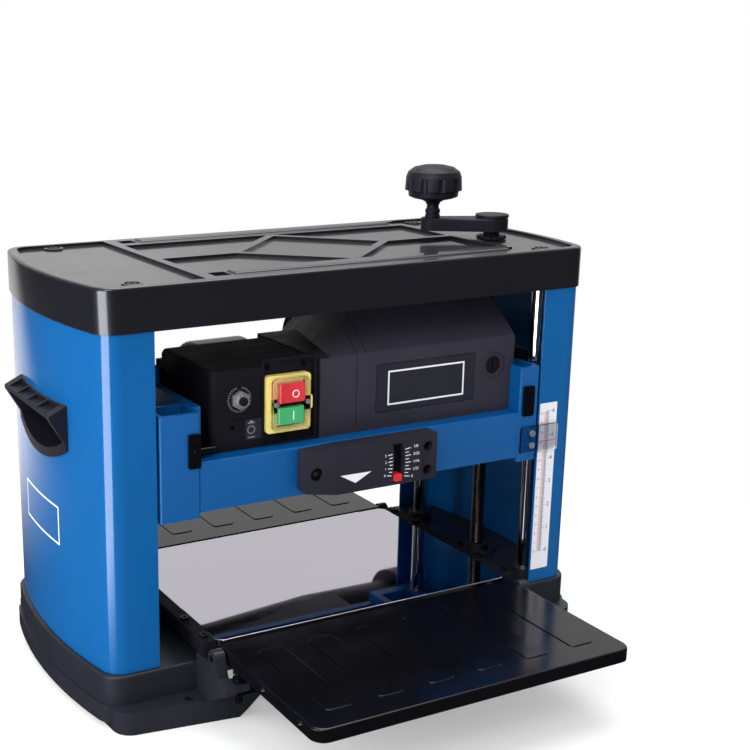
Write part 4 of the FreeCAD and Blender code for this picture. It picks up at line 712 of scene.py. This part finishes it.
def add_threaded_screw(node, body, has_top_shaft):
    """Lead screw with a real helical thread, in place of its plain cylinder."""
    low, axis, high = extent(node)
    builder = bmesh.new()
    previous = None
    for z, in_thread in screw_rows(low.z, high.z):
        plain_radius = TOP_SHAFT_RADIUS if has_top_shaft and z > THREAD_HIGH else CREST_RADIUS
        ring = screw_ring(builder, axis, z, in_thread, plain_radius)
        if previous:
            for here in range(SEGMENTS):
                following = (here + 1) % SEGMENTS
                builder.faces.new((previous[here], previous[following], ring[following], ring[here]))
        else:
            builder.faces.new(ring[::-1])
        previous = ring
    builder.faces.new(previous)
    mesh = bpy.data.meshes.new(node + "_threaded")
    builder.to_mesh(mesh)
    for polygon in mesh.polygons:
        polygon.use_smooth = len(polygon.vertices) == 4
    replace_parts(new_piece(node + "_threaded", mesh, body, "thread_steel"), node)


add_inch_marks()
add_metric_marks()
add_gauge_marks()
add_name_plate_border()
add_breaker_marks()
add_symbol_plate_marks()
add_stop_symbol()
add_start_symbol()
add_lens_hairline()
add_shell_border()
add_threaded_screw("right_lead_screw", "crank", True)
add_threaded_screw("left_lead_screw", "left_screw", False)


# ---- camera, light and floor ----
CAMERA_PLACE = (-0.6426, -1.1280, 0.6002)
CAMERA_AZIMUTH, CAMERA_ELEVATION = -27.08, 14.77
CAMERA_LENS = 62.67
CAMERA_SHIFT = (0.1824, 0.0167)


def add_camera():
    azimuth, elevation = math.radians(CAMERA_AZIMUTH), math.radians(CAMERA_ELEVATION)
    data = bpy.data.cameras.new("camera")
    data.sensor_width = 36.0
    data.lens = CAMERA_LENS
    data.shift_x, data.shift_y = CAMERA_SHIFT
    data.clip_start, data.clip_end = 0.05, 50
    camera = bpy.data.objects.new("camera", data)
    level = math.cos(elevation)
    backward = Vector((math.sin(azimuth) * level, -math.cos(azimuth) * level, math.sin(elevation)))
    camera.rotation_euler = backward.to_track_quat("Z", "Y").to_euler()
    camera.location = CAMERA_PLACE
    bpy.context.scene.collection.objects.link(camera)
    bpy.context.scene.camera = camera


class NodeBuilder:
    """Short calls for a small shader network."""

    def __init__(self, tree):
        self.tree = tree

    def add(self, kind, **values):
        node = self.tree.nodes.new(kind)
        for name, value in values.items():
            setattr(node, name, value)
        return node

    def math(self, operation, first, second):
        """Result of a sum on two values, each a socket or a number."""
        node = self.add("ShaderNodeMath", operation=operation)
        for index, value in enumerate((first, second)):
            if isinstance(value, (int, float)):
                node.inputs[index].default_value = value
            else:
                self.tree.links.new(value, node.inputs[index])
        return node.outputs[0]

    def product(self, *values):
        """All the values multiplied together."""
        result = values[0]
        for value in values[1:]:
            result = self.math("MULTIPLY", result, value)
        return result

    def ramp(self, value, start, end, low, high):
        """Smooth change from low at start to high at end."""
        node = self.add("ShaderNodeMapRange", interpolation_type="SMOOTHSTEP")
        self.tree.links.new(value, node.inputs["Value"])
        for name, number in (("From Min", start), ("From Max", end), ("To Min", low), ("To Max", high)):
            node.inputs[name].default_value = number
        return node.outputs["Result"]

    def split(self, vector):
        """The x, y and z of a vector."""
        node = self.add("ShaderNodeSeparateXYZ")
        self.tree.links.new(vector, node.inputs["Vector"])
        return node.outputs["X"], node.outputs["Y"], node.outputs["Z"]


BACKDROP = 1.0
DIFFUSE_FILL = 0.62
REFLECTED_BRIGHT, REFLECTED_DARK = 0.72, 0.05


def reflected_studio(build):
    """What polished surfaces see: bright behind and above, dark in front, on the left and low right."""
    direction = build.add("ShaderNodeTexCoord")
    x, y, z = build.split(direction.outputs["Generated"])
    behind = build.ramp(y, -0.25, 0.25, REFLECTED_DARK, REFLECTED_BRIGHT)
    not_left = build.ramp(x, -0.5, 0.0, 0.15, 1.0)
    above = build.ramp(z, 0.45, 0.85, REFLECTED_DARK, REFLECTED_BRIGHT * 0.6)
    not_right = build.ramp(x, 0.36, 0.48, 1.0, 0.7)
    not_low = build.ramp(z, 0.22, 0.3, 0.0, 1.0)
    not_low_right = build.math("MAXIMUM", not_right, not_low)
    return build.math("MAXIMUM", build.product(behind, not_left, not_low_right), above)


def add_world():
    """White backdrop, with its own brightness for reflections and for diffuse light."""
    world = bpy.data.worlds.new("studio")
    world.use_nodes = True
    build = NodeBuilder(world.node_tree)
    ray = build.add("ShaderNodeLightPath")
    shares = [build.product(ray.outputs[kind], strength) for kind, strength in (
        ("Is Camera Ray", BACKDROP),
        ("Is Glossy Ray", reflected_studio(build)),
        ("Is Transmission Ray", BACKDROP),
        ("Is Diffuse Ray", DIFFUSE_FILL))]
    total = shares[0]
    for share in shares[1:]:
        total = build.math("ADD", total, share)
    background = world.node_tree.nodes["Background"]
    background.inputs["Color"].default_value = (1, 1, 1, 1)
    world.node_tree.links.new(total, background.inputs["Strength"])
    bpy.context.scene.world = world
    bpy.context.scene.view_settings.view_transform = "Standard"


CARD_CORNER_X = (SHELL_LOW.x + SIDE_BULGE) * MM
CARD_CORNER_Y = SHELL_LOW.y * MM
CARD_BRIGHTNESS = 9.0
CARD_COLOUR = (0.9, 0.93, 1.0, 1.0)


def corner_card(build, x, y):
    """Wedge of the floor that spreads to the front left of the shell's front corner.

    Its reflection is the bright upright line on the corner of the shell and of the cover.
    """
    sideways = build.math("SUBTRACT", CARD_CORNER_X, x)
    backward = build.math("SUBTRACT", y, CARD_CORNER_Y)
    slant = build.math("DIVIDE", backward, build.math("MAXIMUM", sideways, MM))
    front_side = build.ramp(slant, -1.1, -0.9, 0.0, 1.0)
    back_side = build.ramp(slant, -0.1, 0.0, 1.0, 0.0)
    away_from_foot = build.ramp(sideways, 0.05, 0.45, 0.0, 1.0)
    return build.product(front_side, back_side, away_from_foot)


def rear_patch(build, x, y):
    """Part of the floor behind the machine that stays pale in reflections."""
    return build.product(build.ramp(y, 0.2, 0.9, 0.0, 0.75), build.ramp(x, -0.7, -0.3, 0.0, 1.0))


def fade_to_backdrop(surface, build, camera_ray):
    """Turn the floor into plain white for the camera, except for the shadow near the machine."""
    distance = build.add("ShaderNodeVectorMath", operation="LENGTH")
    surface.link(surface.place.outputs["Object"], distance.inputs[0])
    far_off = build.ramp(distance.outputs["Value"], 0.3, 0.75, 0.35, 1.0)
    glow = build.add("ShaderNodeEmission")
    fade = build.add("ShaderNodeMixShader")
    surface.link(build.product(camera_ray, far_off), fade.inputs["Fac"])
    surface.link(surface.shader.outputs["BSDF"], fade.inputs[1])
    surface.link(glow.outputs["Emission"], fade.inputs[2])
    surface.link(fade.outputs["Shader"], surface.tree.nodes["Material Output"].inputs["Surface"])


def floor_surface():
    """White for the camera and dark in reflections, apart from the rear patch and the card."""
    surface = Surface("pale_floor", "FFFFFF", 0.7).mottle(2, 0.005, 0.03).shine(0.0)
    build = NodeBuilder(surface.tree)
    ray = build.add("ShaderNodeLightPath")
    in_reflection = ray.outputs["Is Glossy Ray"]
    x, y, _ = build.split(surface.place.outputs["Object"])
    seen_dark = build.product(in_reflection, build.math("SUBTRACT", 1.0, rear_patch(build, x, y)))
    surface.blend_colour(seen_dark, surface.colour, linear("2A2A2C"))
    card = build.product(corner_card(build, x, y), in_reflection, CARD_BRIGHTNESS)
    surface.shader.inputs["Emission Color"].default_value = CARD_COLOUR
    surface.link(card, surface.shader.inputs["Emission Strength"])
    fade_to_backdrop(surface, build, ray.outputs["Is Camera Ray"])
    return surface


def add_floor():
    bpy.ops.mesh.primitive_plane_add(size=30, location=(0, 0, 0))
    floor = bpy.context.object
    floor.name = "studio_floor"
    floor.data.materials.append(floor_surface().material)


LIGHT_TARGET = (0, 0, 0.2)


def add_area_light(name, place, size, power, glossy=True):
    """Rectangular light that faces the machine; power in watts, lengths in metres."""
    data = bpy.data.lights.new(name, "AREA")
    data.shape = "RECTANGLE"
    data.size, data.size_y = size
    data.energy = power
    light = bpy.data.objects.new(name, data)
    light.location = place
    toward_light = Vector(place) - Vector(LIGHT_TARGET)
    light.rotation_euler = toward_light.to_track_quat("Z", "Y").to_euler()
    light.visible_glossy = glossy
    bpy.context.scene.collection.objects.link(light)


def add_lights():
    """Two softboxes, a fill that is not seen in reflections, and a strip for the chromed columns."""
    add_area_light("key_softbox", (-1.8, -1.8, 2.2), (1.6, 1.2), 34)
    add_area_light("top_softbox", (0.3, 0.2, 2.8), (2.4, 2.0), 60)
    add_area_light("left_fill", (-2.5, 0.2, 1.0), (1.5, 1.5), 40, glossy=False)
    add_area_light("narrow_strip", (-1.9, -0.5, 0.9), (0.45, 1.6), 4)


add_camera()
add_world()
add_floor()
add_lights()
